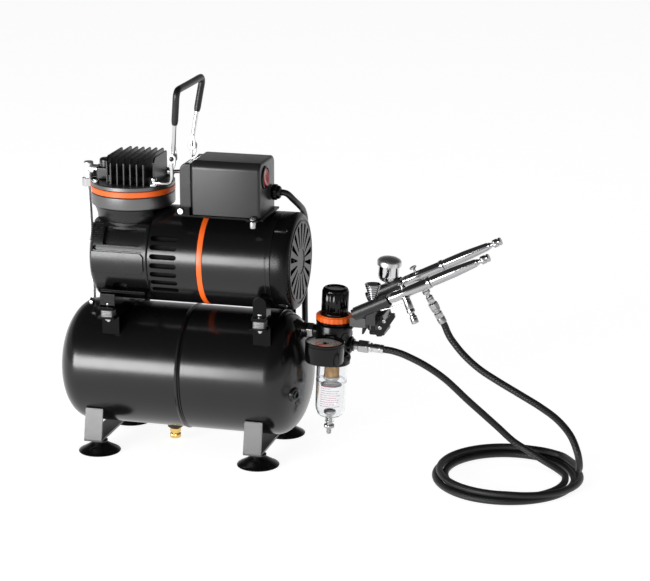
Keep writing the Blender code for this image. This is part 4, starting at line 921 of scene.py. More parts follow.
def make_switch_box():
    (x0, x1), (y0, y1), (z0, z1) = (15.7, 86.0), (-42.0, 12.0), (252.7, 306.2)
    radius = 8.0
    arch = [(y0, z0), (y1, z0)] + arc((y1 - radius, z1 - radius), radius, 0, 90, 10)
    arch += arc((y0 + radius, z1 - radius), radius, 90, 180, 10)
    cover = prism("box_cover", arch, x0, x1, "X", "box", ROOT)
    edges = [e for e in cover.data.edges
             if abs(cover.data.vertices[e.vertices[0]].co.x - cover.data.vertices[e.vertices[1]].co.x) < 1e-6]
    weights = cover.data.attributes.new("bevel_weight_edge", "FLOAT", "EDGE")
    for edge in edges:
        ends = [cover.data.vertices[v].co for v in edge.vertices]
        if not all(abs(p.z - z0 * MM) < 1e-6 for p in ends):
            weights.data[edge.index].value = 1.0
    soft = cover.modifiers.new("soft_edges", "BEVEL")
    soft.limit_method = "WEIGHT"
    soft.width = 2.6 * MM
    soft.segments = 5
    with bpy.context.temp_override(object=cover, active_object=cover):
        bpy.ops.object.modifier_apply(modifier=soft.name)
    combine(cover, turned("cut_rocker", [(0, -6), (10.2, -6), (10.2, 6), (0, 6)], "box", None,
                          (86, -23.5, 290), (1, 0, 0), 48))
    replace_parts(cover, "switch_box_cover")
    rim = [(9.7, -3), (10.3, -3), (10.3, 0), (11.6, 0), (11.6, 0.8), (10.9, 1.5), (9.9, 1.7), (9.7, 1.2)]
    bezel = turned("switch_bezel", rim, "knob", ROOT, (86, -23.5, 290), (1, 0, 0), 64)
    well = turned("switch_well", [(0, -5.5), (10.1, -5.5), (10.1, -4.6), (0, -4.6)], "plastic", ROOT,
                  (86, -23.5, 290), (1, 0, 0), 48)
    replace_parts(bezel, "switch_box_cover")
    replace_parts(well, "switch_box_cover")
    floor_plate = block("box_base", (-2, -44, 250.2), (90, 14, 252.4), "bracket", ROOT, bevel=0.5)
    step = [(3, 252)] + [(15.2, 252), (15.2, 303), (11, 303)] + arc((10.5, 295.5), 7.5, 90, 180, 8)
    shoulder = prism("box_shoulder", step, -39, 9, "Y", "case", ROOT, bevel=1.4, steps=3)
    tab = block("box_tab", (73.5, -49, 250.2), (86, -42, 252.2), "bracket", ROOT, bevel=0.5)
    post = turned("box_post", rounded([(0, 243.6), (3.2, 243.6), (3.2, 250.1), (0, 250.1)], 0.4), "steel",
                  ROOT, (79.9, -45.4, 0), segments=32)
    screw = cap_screw("box_screw_right", (79.9, -45.6, 252), (0, -0.35, 0.94), ROOT, 3.3, 2.2, "steel")
    left_tab = block("box_tab_left", (0.5, -45.2, 252.2), (15, -38.5, 259.5), "bracket", ROOT, bevel=0.6)
    left_screw = cap_screw("box_screw_left", (6, -45, 256), (0, -1, 0.1), ROOT, 3.1, 2.2, "steel")
    for part in (floor_plate, shoulder, tab, post, screw, left_tab, left_screw):
        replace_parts(part, "switch_box_base")
    for index, x in enumerate((6, 79.9)):
        back = cap_screw("box_screw_back_%d" % index, (x, 13.2, 256 if index == 0 else 252.2),
                         (0, 1, 0) if index == 0 else (0, 0, 1), ROOT, 2.6, 1.6, "steel")
        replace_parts(back, "switch_box_base")
    tilt = math.radians(8)
    axis = Vector((math.cos(tilt), 0, math.sin(tilt)))
    dish = [(0, -3.5), (8.6, -3.5), (9.1, -1), (9.1, 1.8), (8.5, 3.0), (6.5, 2.9), (3, 2.0), (0, 1.7)]
    button = turned("rocker_button", dish, "switch", "rocker", Vector((85, -23.5, 290)), axis, 56)
    mark = block("rocker_mark", (-5.6, -0.5, 2.3), (-2.6, 0.5, 2.75), "inner", "rocker",
                 standing((85, -23.5, 290), aimed(axis)), bevel=0.1)
    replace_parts(button, "rocker_switch")
    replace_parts(mark, "rocker_switch")
    gland = fluted("gland_nut", 8.0, 0.3, 5.4, 14, 0.5, "plastic", ROOT, (86, 2.5, 269.5), (1, 0, 0), 0.8)
    dome_end = turned("gland_dome", rounded([(0, 5), (6.8, 5), (6.6, 7.6), (4.6, 9.2), (0, 9.2)], 1.2, 4),
                      "plastic", ROOT, (86, 2.5, 269.5), (1, 0, 0), 40)
    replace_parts(gland, "cord_gland")
    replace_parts(dome_end, "cord_gland")


# ---------------------------------------------------------------- inside the motor

def make_insides():
    for node, look in (("stator", "steel"), ("rotor_shaft", "steel"), ("cooling_fan", "plastic"),
                       ("piston_rod", "steel")):
        shine(node, look)
    coils = []
    for index in range(12):
        turn = 2 * math.pi * index / 12
        centre = Vector((0, 37 * math.cos(turn), MOTOR_Z + 37 * math.sin(turn)))
        coils.append(centre)
    bm = bmesh.new()
    for centre in coils:
        bmesh.ops.create_uvsphere(bm, u_segments=16, v_segments=8, radius=1.0,
                                  matrix=Matrix.Translation(centre)
                                  @ Matrix.Rotation(math.atan2(centre.z - MOTOR_Z, centre.y), 4, "X")
                                  @ Matrix.Diagonal((7.5, 5.2, 9.0, 1)))
    for vert in bm.verts:
        vert.co.x += 4.0
    show("motor_windings", bm, "copper", ROOT, None)


# ---------------------------------------------------------------- regulator and filter

def on_regulator(height, across=0.0, along_y=0.0):
    sideways = Vector((REG_AXIS.z, 0, -REG_AXIS.x))
    return REG_AT + REG_AXIS * height + sideways * across + Vector((0, along_y, 0))


def make_regulator():
    lean = aimed(REG_AXIS)
    body = [(0, -45), (16.2, -45), (16.2, -50), (17.2, -50), (18, -49.4), (18, -27), (17.6, -26.6),
            (17.6, -25.6), (18, -25.2), (18, -9.6), (17.4, -8.2), (16.6, -7.6), (14.7, -7.5), (14.7, -5.4),
            (14.2, -5), (14.2, 0.6), (0, 0.6)]
    housing = turned("regulator_housing", body, "plastic", ROOT, REG_AT, REG_AXIS, 96)
    inlet = turned("regulator_inlet", [(7.6, 121.8), (7.6, 124), (6.4, 124.6), (6.4, 134.5), (0, 134.5)],
                   "plastic", ROOT, (0, 0, 130), (1, 0, 0), 40)
    swivel = prism("regulator_inlet_nut", hexagon(14.6, 10), 123, 129.5, "Z", "steel", ROOT,
                   standing((0, 0, 130), aimed((1, 0, 0))), bevel=0.7)
    outlet_at = HOSE_END - HOSE_AXIS * 36.5
    outlet = turned("regulator_outlet", rounded([(0, -2), (8.4, -2), (8.4, 3.6), (6.4, 4.4), (6.4, 6),
                                                 (0, 6)], 0.5), "plastic", ROOT, outlet_at, HOSE_AXIS, 48)
    spare_axis = Vector((0.8, -0.55, -0.1)).normalized()
    spare = turned("regulator_spare_port", rounded([(0, 14), (5.2, 14), (5.2, 19.2), (4.2, 19.8),
                                                    (4.2, 23.2), (0, 23.2)], 0.6), "knob", ROOT,
                   on_regulator(-38), spare_axis, 32)
    lugs = []
    for index, turn in enumerate((35, 145, 325)):
        arm = Vector((math.cos(math.radians(turn)), math.sin(math.radians(turn)), 0))
        lugs.append(turned("regulator_boss_%d" % index, rounded([(0, 12), (5.6, 12), (5.2, 18.6),
                                                                 (0, 18.6)], 0.8), "plastic", ROOT,
                           on_regulator(-20), arm, 32))
    for part in [housing, inlet, swivel, outlet, spare] + lugs:
        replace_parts(part, "regulator_body")
    ring = fluted("orange_lock_ring", 18.5, -5.2, 0.6, 24, 0.4, "ring", ROOT, REG_AT, REG_AXIS, 0.8, 0.26)
    hole = turned("cut_ring", [(0, -9), (15, -9), (15, 9), (0, 9)], "ring", None, REG_AT, REG_AXIS, 64)
    combine(ring, hole)
    collar = turned("ring_lip", rounded([(15, 0), (17, 0), (17, 1.3), (15, 1.3)], 0.4), "ring", ROOT,
                    REG_AT, REG_AXIS, 96)
    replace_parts(ring, "lock_ring")
    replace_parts(collar, "lock_ring")
    grip = fluted("knob_grip", 13.5, 1.9, 26.4, 16, 0.6, "knob", "pressure_knob", REG_AT, REG_AXIS, 1.2,
                  0.5)
    skirt = turned("knob_skirt", rounded([(0, 0.9), (13.9, 0.9), (13.9, 3.4), (0, 3.4)], 0.6), "knob",
                   "pressure_knob", REG_AT, REG_AXIS, 96)
    crown = [(0, 27.4), (8.6, 27.4), (9.4, 28.4), (10.6, 28.8), (11.9, 28.2), (12.9, 26.8), (13.1, 25),
             (0, 25)]
    top = turned("knob_top", crown, "knob", "pressure_knob", REG_AT, REG_AXIS, 96)
    arrow = prism("knob_arrow", arc((0, 0), 6.2, 40, 140, 12) + arc((0, 0), 5.2, 140, 40, 12), 27.2, 27.65,
                  "Z", "knob", "pressure_knob", standing(REG_AT, lean))
    for part in (grip, skirt, top, arrow):
        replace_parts(part, "regulator_knob")
    make_gauge()
    make_bowl()
    at = HOSE_END
    hexes = prism("fitting_hex", hexagon(12.0, 14), -26, -15.5, "Z", "steel", ROOT,
                  standing(at, aimed(HOSE_AXIS)), bevel=0.8)
    tail = [(0, -30.2), (4.4, -30.2), (4.4, -26), (0, -26)]
    groove = [(0, -16), (3.6, -16), (3.6, -14.2), (5, -13.8), (5, -11.8), (4.1, -11.4), (4.1, -10.6),
              (4.5, -10.2), (4.5, -4.6), (4.2, -4.2), (4.5, -3.8), (4.5, -0.3), (0, -0.3)]
    for name, outline in (("fitting_stub", tail), ("fitting_ferrule", groove)):
        piece = turned(name, outline, "steel" if name.endswith("stub") else "chrome", ROOT, at, HOSE_AXIS,
                       40)
        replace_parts(piece, "hose_end_regulator")
    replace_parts(hexes, "hose_end_regulator")


def make_gauge():
    at = on_regulator(-15.6, 1.2, -39.6)
    lean = aimed(REG_AXIS)
    case = [(0, -21), (17.6, -21), (18.8, -20.6), (19.4, -19.4), (19.4, -3.4), (19.1, -3), (19.1, -2.4),
            (19.5, -2), (19.5, -0.6), (19, 0), (17.9, 0), (17.4, -0.8), (17.4, -4.4), (0, -4.4)]
    shell = turned("gauge_shell", case, "knob", ROOT, at, REG_AXIS, 96)
    stem = turned("gauge_stem", rounded([(0, 18), (6.2, 18), (5.2, 20.4), (5.2, 23.5), (0, 23.5)], 0.5),
                  "plastic", ROOT, at - REG_AXIS * 12, (0, 1, 0), 40)
    card = turned("gauge_card", [(0, -4.3), (17.3, -4.3), (17.3, -3.9), (0, -3.9)], "dial", ROOT, at,
                  REG_AXIS, 72)
    bm = bmesh.new()
    for index in range(41):
        turn = math.radians(225 - 270 * index / 40)
        long = 2.6 if index % 5 == 0 else 1.4
        width = 0.22 if index % 5 == 0 else 0.13
        outline = [(15.6 - long, -width), (15.6, -width), (15.6, width), (15.6 - long, width)]
        add_prism(bm, outline, -3.92, -3.78, "Z", Matrix.Rotation(turn, 4, "Z"))
    ticks = show("gauge_ticks", bm, "ink", ROOT, standing(at, lean))
    bm = bmesh.new()
    add_prism(bm, arc((0, 0), 12.2, -45, 60, 24) + arc((0, 0), 11.6, 60, -45, 24), -3.92, -3.78)
    add_prism(bm, arc((0, 0), 9.0, 140, 225, 24) + arc((0, 0), 8.6, 225, 140, 24), -3.92, -3.78)
    arcs = show("gauge_arcs", bm, "red", ROOT, standing(at, lean))
    parts = [shell, stem, card, ticks, arcs]
    for index, text in enumerate(("0", "2", "4", "6", "8", "10")):
        turn = math.radians(225 - 270 * index / 5)
        font = bpy.data.curves.new("dial_number", "FONT")
        font.body = text
        font.size = 3.4 * MM
        font.extrude = 0.05 * MM
        font.align_x = "CENTER"
        font.align_y = "CENTER"
        holder = bpy.data.objects.new("dial_number", font)
        bpy.context.collection.objects.link(holder)
        mesh = bpy.data.meshes.new_from_object(holder)
        bpy.data.objects.remove(holder, do_unlink=True)
        number = bpy.data.objects.new("gauge_number_%d" % index, mesh)
        bpy.context.collection.objects.link(number)
        mesh.materials.clear()
        mesh.materials.append(LOOK["ink"])
        spot = Matrix.Translation((9.4 * math.cos(turn) * MM, 9.4 * math.sin(turn) * MM, -3.84 * MM))
        number.matrix_world = standing(at, lean) @ spot
        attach(number, ROOT)
        parts.append(number)
    glass = turned("gauge_glass", [(0, -1.4), (17.6, -1.4), (17.6, -0.8), (0, -0.4)], "lens", ROOT, at,
                   REG_AXIS, 72)
    parts.append(glass)
    for part in parts:
        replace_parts(part, "gauge_case")
    turn = Matrix.Rotation(math.radians(-130), 4, "Z")
    hand = [(-5, -1.0), (-3.6, -0.6), (11.5, -0.4), (13, 0), (11.5, 0.4), (-3.6, 0.6), (-5, 1.0)]
    pointer = prism("gauge_hand", hand, -3.4, -3.1, "Z", "red", "pointer", standing(at, lean @ turn))
    cap = turned("gauge_hand_cap", rounded([(0, -3.4), (1.8, -3.4), (1.8, -2.2), (0, -2)], 0.4), "ink",
                 "pointer", at, REG_AXIS, 32)
    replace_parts(pointer, "gauge_pointer")
    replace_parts(cap, "gauge_pointer")


def make_bowl():
    bowl = [(14, -45.4), (15.6, -45.4), (15.6, -62), (15.4, -66), (15.2, -96), (14.7, -99.6),
            (13.4, -103.2), (11, -105.6), (8, -106.8), (4.6, -107.2), (4.6, -112.8), (3.4, -112.8),
            (3.4, -105.6), (7.6, -105.2), (10.4, -104.2), (12.2, -102.2), (13.4, -98.8), (13.8, -95),
            (14, -66)]
    cup = turned("bowl_shell", bowl, "bowl", "bowl", REG_AT, REG_AXIS, 96)
    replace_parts(cup, "filter_bowl")
    bm = bmesh.new()
    rows = ((0, 62, 0.4), (1, 40, 0.22), (2, 74, 0.22), (3, 66, 0.22), (4, 78, 0.22), (5, 58, 0.22),
            (6, 72, 0.22), (7, 64, 0.22), (8, 48, 0.22), (9, 70, 0.22))
    for row, width, half in rows:
        height = -71.5 - row * 2.35
        start = -118.0
        while start < -118 + width:
            stop = start + 5 + (row * 7 + int(start)) % 6
            add_prism(bm, arc((0, 0), 15.42, start, stop, 4) + arc((0, 0), 15.1, stop, start, 4),
                      height - half, height + half)
            start = stop + 1.6
    lines = show("bowl_print", bm, "print", "bowl", standing(REG_AT, aimed(REG_AXIS)))
    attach(lines, "bowl")
    ring = [(13.95, -69.2), (15.5, -69.2), (15.6, -68.8), (15.6, -68.2), (15.5, -67.8), (13.95, -67.8)]
    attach(turned("bowl_rib", ring, "bowl", "bowl", REG_AT, REG_AXIS, 96), "bowl")
    head = turned("element_head", [(0, -51), (9, -51), (9.2, -50.6), (9.2, -45.4), (0, -45.4)], "inner",
                  ROOT, REG_AT, REG_AXIS, 48)
    sinter = turned("element_sinter", rounded([(0, -64.6), (7.6, -64.6), (7.6, -51), (0, -51)], 0.5),
                    "filter", ROOT, REG_AT, REG_AXIS, 48)
    spindle = turned("element_spindle", [(0, -72), (3.2, -72), (8.2, -66.4), (8.2, -64.4), (0, -64.4)],
                     "inner", ROOT, REG_AT, REG_AXIS, 24)
    disc = turned("element_baffle", [(0, -73.6), (10.5, -73.9), (10.8, -73.4), (10.5, -72.8), (3, -72),
                                     (0, -71.8)], "inner", ROOT, REG_AT, REG_AXIS, 64)
    for part in (head, sinter, spindle, disc):
        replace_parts(part, "filter_element")
    inner_nut = [(2.9, -104.6), (5.6, -104.6), (6.2, -103.8), (6.2, -101.4), (5, -100.4), (2.9, -100.2)]
    outer = [(0, -116.6), (3, -116.6), (3, -113.2), (2.9, -104.4), (0, -104.4)]
    barbs = [(0, -126.4), (1.8, -126.4), (2.6, -124.6), (2.1, -124.4), (2.6, -122.6), (2.1, -122.4),
             (2.6, -120.6), (2.1, -120.4), (2.6, -118.6), (2.1, -118.4), (2.1, -116.2), (0, -116.2)]
    nut_piece = turned("valve_inner", inner_nut, "steel", "bowl_valve", REG_AT, REG_AXIS, 32)
    stem = turned("valve_stem", outer, "steel", "bowl_valve", REG_AT, REG_AXIS, 24)
    tip = turned("valve_barb", barbs, "steel", "bowl_valve", REG_AT, REG_AXIS, 32)
    wings = fluted("valve_nut", 5.2, -119.7, -116.1, 16, 0.4, "steel", "bowl_valve", REG_AT, REG_AXIS, 0.5)
    for part in (nut_piece, stem, tip, wings):
        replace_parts(part, "bowl_drain_valve")


# ---------------------------------------------------------------- holder and airbrushes

def brush_frame(roll):
    """Local Z along the airbrush, local X away from its air valve, after rolling about the axis."""
    down = Vector((BRUSH_AXIS.z, 0, -BRUSH_AXIS.x))
    turn = math.radians(roll)
    valve = down * math.cos(turn) + Vector((0, math.sin(turn), 0))
    across = BRUSH_AXIS.cross(-valve)
    return Matrix((-valve, across, BRUSH_AXIS)).transposed().to_4x4()


def make_holder():
    ring = turned("clamp_ring", [(15, -7.1), (18.2, -7.1), (18.2, -5.1), (15, -5.1)], "bracket", ROOT,
                  REG_AT, REG_AXIS, 96)
    neck = block("clamp_neck", (165.5, -6, 140.2), (172, 6, 142), "bracket", ROOT, bevel=0.4)
    arm = block("clamp_arm", (170, -16, 141), (186.5, -12.6, 151), "arm", ROOT, bevel=0.6)
    wall = block("clamp_wall", (186.7, -15.8, 140.6), (191, -12.6, 155), "box", ROOT, bevel=0.6)
    toe = prism("clamp_toe", [(182.4, 134.4), (184.4, 134.8), (187.4, 140.8), (182.8, 140.8)], -15.6, -11.6,
                "Y", "plastic", ROOT, bevel=0.4)
    arm_back = block("clamp_arm_back", (170, 12.6, 137.5), (190, 16, 150.5), "box", ROOT, bevel=0.6)
    bridge = block("clamp_bridge", (168.5, -16, 139.2), (173, 16, 142.6), "bracket", ROOT, bevel=0.5)
    for part in (ring, neck, arm, wall, toe, arm_back, bridge):
        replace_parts(part, "holder_clamp")
    cheek = [(189, 140), (196.6, 138.6), (198, 133.6), (203.2, 134.2), (216.4, 154.6), (215.6, 158.6),
             (211.6, 158.2), (205.4, 150), (203.6, 156), (189, 156)]
    short_cheek = [(189, 140), (196.6, 138.6), (198, 133.6), (200.4, 134.2), (206, 146.5), (203.6, 154),
                   (189, 154)]
    for side in (-1, 1):
        tag = "front" if side < 0 else "rear"
        plate = prism("clamp_cheek_" + tag, cheek if side < 0 else short_cheek,
                      min(side * 17.5, side * 13.5), max(side * 17.5, side * 13.5), "Y", "knob", ROOT,
                      bevel=0.6)
        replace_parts(plate, "holder_clamp")
        for index, spot in enumerate(((205.8, 150.4), (201.6, 143.4)) if side < 0
                                     else ((200.5, 146), (199, 140.5))):
            screw = cap_screw("clamp_screw_%s_%d" % (tag, index), (spot[0], side * 17.4, spot[1]),
                              (0, side, 0), ROOT, 1.9, 1.6, "steel")
            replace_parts(screw, "holder_clamp")
    jaw = block("clamp_jaw", (188, -14, 140), (204, 14, 155.6), "plastic", ROOT, bevel=1.0)
    lower = block("clamp_lower", (190, -14, 134.2), (205, 14, 137.6), "plastic", ROOT, bevel=0.8)
    spine = block("clamp_spine", (189.5, -13.6, 135), (193.5, 13.6, 142), "plastic", ROOT, bevel=0.6)
    ribs = [block("clamp_rib_%d" % k, (low, -18.4, 140.8), (high, -16.8, 155.2), look, ROOT, bevel=0.3)
            for k, (low, high, look) in enumerate(((191.2, 192.3, "strap"), (192.7, 196.1, "knob"),
                                                   (196.5, 200.1, "box")))]
    for part in [jaw, lower, spine] + ribs:
        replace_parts(part, "holder_clamp")
    for name, tip, inward, body in (("front", FRONT_TIP, 1, "front_sleeve"), ("rear", REAR_TIP, -1, ROOT)):
        middle = tip + BRUSH_AXIS * 21.25
        matrix = Matrix.Translation(place(middle)) @ brush_frame(0)
        outline = arc((0, 0), 6.8, 33, 327, 40) + arc((0, 0), 5.6, 327, 33, 40)
        sleeve = prism("sleeve_" + name, outline, -19.75, 19.75, "Z", "sleeve", body, matrix, bevel=0.45,
                       steps=3, smooth=30)
        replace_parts(sleeve, "holder_sleeve_" + name)
        lug_outline = [(-5, -18), (5, -18), (4.4, -10), (5.6, -3.5), (-5.6, -3.5), (-4.4, -10)]
        lug = prism("sleeve_lug_" + name, lug_outline, -3, 3, "Y", "sleeve", body, standing(middle),
                    bevel=0.5)
        trim = turned("cut_lug", [(0, -30), (6.3, -30), (6.3, 30), (0, 30)], "sleeve", None, middle,
                      BRUSH_AXIS, 40)
        combine(lug, trim)
        pivot = (195.5, middle.y + inward * 3, 149.5)
        pin = turned("sleeve_pin_" + name, rounded([(0, -2), (3.5, -2), (3.5, 4), (0, 4)], 0.4), "sleeve",
                     body, pivot, (0, inward, 0), 32)
        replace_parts(lug, "holder_sleeve_" + name)
        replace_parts(pin, "holder_sleeve_" + name)


def make_airbrush(name, tip, roll, body, trigger_body, handle_body):
    frame_here = Matrix.Translation(place(tip)) @ brush_frame(roll)
    at_valve = Matrix.Translation((0, 0, VALVE_STATION * MM))
    node = name + "_airbrush_body"

    def lathe(label, outline, owner, matrix=frame_here, look="brush", segments=56, owner_node=node):
        piece = turned("%s_%s" % (name, label), outline, look, owner, matrix=matrix, segments=segments)
        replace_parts(piece, owner_node)
        return piece

    nozzle = [(0, 0), (0.5, 0), (0.7, 1.2), (1.0, 2.2), (2.2, 2.8), (2.4, 3.6), (2.4, 5), (3.2, 5.3),
              (3.5, 6.4), (3.5, 8.4), (3.2, 8.8), (3.2, 9.4), (3.9, 10), (4.1, 11), (4.1, 13.5), (0, 13.5)]
    head = [(0, 13.5), (3.9, 13.7), (4.2, 14.2), (4.2, 40), (4.6, 42), (5.1, 45.4), (5.1, 50), (0, 50)]
    barrel = [(0, 50), (5.1, 50), (5.1, 83), (4.9, 83.3), (4.9, 83.7), (5.7, 84), (6, 84.5), (6, 86.9),
              (5.7, 87.3), (0, 87.3)]
    lathe("nozzle", nozzle, body, look="chrome")
    lathe("head", head, body)
    shell = lathe("barrel", barrel, body)
    slot = prism("cut_slot", pill(-6.6, 6.6, 0, 1.9, 1.9), 1.4, 9, "Z", "brush", None,
                 frame_here @ at_valve @ Matrix.Rotation(math.pi / 2, 4, "Y"))
    combine(shell, slot)
    down = frame_here @ at_valve @ Matrix.Rotation(-math.pi / 2, 4, "Y")
    valve = [(0, 3), (4.4, 4.2), (4.4, 5.6), (3.6, 6.2), (3.6, 9), (3.9, 9.4), (3.9, 16.4), (3.6, 17),
             (4.1, 17.5), (4.1, 20), (3, 20.6), (2.6, 21.2), (2.6, 23.6), (3.0, 24.2), (3.7, 24.8),
             (3.7, 26.4), (3.4, 26.8), (3.7, 27.2), (3.7, 31.4), (3.3, 32), (1.6, 32), (1.6, 30), (0, 30)]
    lathe("air_valve", valve, body, down, segments=40)
    trigger = frame_here @ at_valve @ Matrix.Rotation(math.pi / 2, 4, "Y")
    lever = [(0, 2.4), (1.3, 2.6), (1.25, 5), (1.2, 7.4), (1.8, 8.6), (3.5, 9.4), (3.9, 10.0), (3.7, 10.7),
             (3, 10.6), (0, 10.2)]
    lathe("lever", lever, trigger_body, trigger, "chrome", 32, name + "_airbrush_trigger")
    grip = [(0, 87.6), (4.8, 87.6), (5.2, 88.2), (5.2, 90), (4.9, 90.3), (4.9, 90.8), (5.3, 91.1),
            (5.3, 112), (5.1, 116), (4.6, 126), (4.1, 135), (3.9, 136.8), (3.2, 137.2), (3.2, 138.4),
            (3.4, 138.6), (2.9, 139.6), (2.3, 140), (2.3, 142.4), (0, 142.4)]
    lathe("grip", grip, handle_body, owner_node=name + "_airbrush_handle")
    knob = fluted(name + "_tail", 4.1, 142.6, 147.8, 18, 0.3, "brush", handle_body, (0, 0, 0), edge=0.5)
    knob.matrix_world = frame_here
    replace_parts(knob, name + "_airbrush_handle")
    lathe("tail_cap", [(0, 147.6), (3, 147.6), (3.2, 148.6), (4, 149.2), (4.1, 150.2), (3.6, 151.3),
                       (0, 151.4)], handle_body, owner_node=name + "_airbrush_handle")


def make_airbrushes():
    make_airbrush("front", FRONT_TIP, FRONT_ROLL, "front_brush", "front_trigger", "front_handle")
    make_airbrush("rear", REAR_TIP, REAR_ROLL, ROOT, "rear_trigger", "rear_handle")
    base = FRONT_TIP + BRUSH_AXIS * CUP_STATION
    cone = [(0, 1), (2, 1), (2, 5.2)]
    rows = 7
    for index in range(rows):
        z0 = 6.6 + 15.2 * index / rows
        radius = 2.5 + (z0 - 6.6) * 0.345
        cone += [(radius, z0), (radius + 0.62, z0 + 0.5), (radius + 0.66, z0 + 1.3),
                 (radius + 0.25, z0 + 1.7)]
    cone += [(8.1, 22.2), (8.1, 22.5), (7.5, 22.6), (7.2, 22.2), (1.8, 7.8), (0, 7.6)]
    cup = turned("front_cup", cone, "brush", "front_brush", base, (0, 0, 1), 64)
    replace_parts(cup, "front_airbrush_body")
    rest = [(204, -25, 163.6), (212, -25, 166.2), (221, -25, 169.4), (229.5, -25.6, 172.6)]
    bar = tube("front_rest", smooth_path(rest, 1.5), 0.9, "chrome", "front_brush", 16)
    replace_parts(bar, "front_airbrush_body")
    base = REAR_TIP + BRUSH_AXIS * CUP_STATION
    stem = turned("rear_cup_stem", [(0, 1), (2.4, 1), (2.4, 6.6), (3, 7.2), (3, 7.8), (0, 7.8)], "brush",
                  ROOT, base, CUP_LEAN, 32)
    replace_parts(stem, "rear_airbrush_body")
    outer = [(0, 8), (4, 8), (6.6, 8.7), (8.8, 10.1), (10.1, 12.2), (10.6, 14.8), (10.6, 28), (10.2, 28.5),
             (9.8, 28.2), (9.8, 15), (9.3, 12.8), (8.2, 11.2), (6.4, 9.8), (4, 9), (0, 9)]
    cup = turned("colour_cup", outer, "chrome", ROOT, base, CUP_LEAN, 80)
    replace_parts(cup, "rear_cup")
    lid = [(0, 33.9), (4, 33.6), (8, 32.7), (10.8, 31.3), (12.1, 29.8), (12.4, 28.6), (12.3, 25.2),
           (11.9, 25), (11.2, 25.2), (11.2, 28.8), (9.6, 30.4), (5, 32.2), (0, 32.8)]
    cover = turned("colour_cup_lid", lid, "frosted", "cup_lid", base, CUP_LEAN, 80)
    hole = turned("cut_lid_hole", [(0, 28), (0.9, 28), (0.9, 38), (0, 38)], "frosted", None, base, CUP_LEAN,
                  20)
    combine(cover, hole)
    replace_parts(cover, "rear_cup_lid")
    at_valve = Matrix.Translation((0, 0, VALVE_STATION * MM))
    down = (Matrix.Translation(place(REAR_TIP)) @ brush_frame(REAR_ROLL) @ at_valve
            @ Matrix.Rotation(-math.pi / 2, 4, "Y"))
    hexes = prism("hose_nut", hexagon(9.2, 0), 32.4, 38.6, "Z", "steel", ROOT, down, bevel=0.6)
    ferrule = [(0, 38.4), (3.8, 38.4), (4.6, 39), (4.6, 40.8), (3.7, 41.6), (3.7, 43.2), (4.4, 44),
               (4.4, 49), (4.15, 49.4), (4.4, 49.8), (4.4, 55.4), (4.1, 55.7), (0, 55.7)]
    for part in (hexes, turned("hose_ferrule", ferrule, "steel", ROOT, matrix=down, segments=40)):
        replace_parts(part, "hose_end_airbrush")


# ---------------------------------------------------------------- hose and mains lead

def winding(centre, turns):
    """Points of a coil lying flat, clockwise seen from above; turns are (angle, radius, height)."""
    points = []
    for (a0, r0, z0), (a1, r1, z1) in zip(turns, turns[1:]):
        steps = max(2, round(abs(a1 - a0) / 12))
        for step in range(steps):
            t = step / steps
            angle = math.radians(a0 + (a1 - a0) * t)
            radius, height = r0 + (r1 - r0) * t, z0 + (z1 - z0) * t
            points.append(centre + Vector((radius * math.cos(angle), radius * math.sin(angle), height)))
    return points


def make_hose():
    leaving = [(212, 0, 114.4), (224, 0, 111), (244, 2, 101.3), (263.6, 6, 87.1), (284.5, 12, 66),
               (299.5, 17, 51.1), (314.6, 21, 36.6), (330, 23, 22.6), (346.3, 20, 14.5), (363.3, 12, 8.4),
               (378, 1.5, 5.2)]
    arriving = [(259, 35.4, 127), (264, 34.5, 119.3), (276.8, 32, 105.8), (293.5, 27, 94.2),
                (314.1, 18, 85.9), (339.4, 6, 77.5), (361.7, -8, 71.3), (381.3, -25, 65.5),
                (396.5, -40, 56), (405, -49, 42.5), (407, -46.5, 29), (404.8, -34.5, 20),
                (401.4, -20, 17.5)]
    turns = [(18.7, 56, 3.9), (-60, 59, 3.8), (-180, 62, 3.8), (-341.3, 64.3, 3.8), (-400, 68, 3.8),
             (-470, 71.2, 3.8), (-701.3, 71.3, 3.8), (-740, 70, 6.0), (-800, 68, 9.9), (-1000, 66.5, 10.1),
             (-1050, 67.2, 12.5)]
    coil = winding(COIL_AT, turns)
    down = -(brush_frame(REAR_ROLL) @ Vector((1, 0, 0)))
    end = REAR_TIP + BRUSH_AXIS * VALVE_STATION + down * 56
    route = ([HOSE_END, HOSE_END + HOSE_AXIS * 4] + [Vector(p) for p in leaving] + coil
             + [Vector(p) for p in reversed(arriving)] + [end + down * 4, end])
    path = smooth_path(route, 1.6)
    hose = tube("hose", path, 3.5, "braid", ROOT, 20)
    for node in ("hose_from_regulator", "hose_coil", "hose_to_airbrush"):
        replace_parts(hose, node)


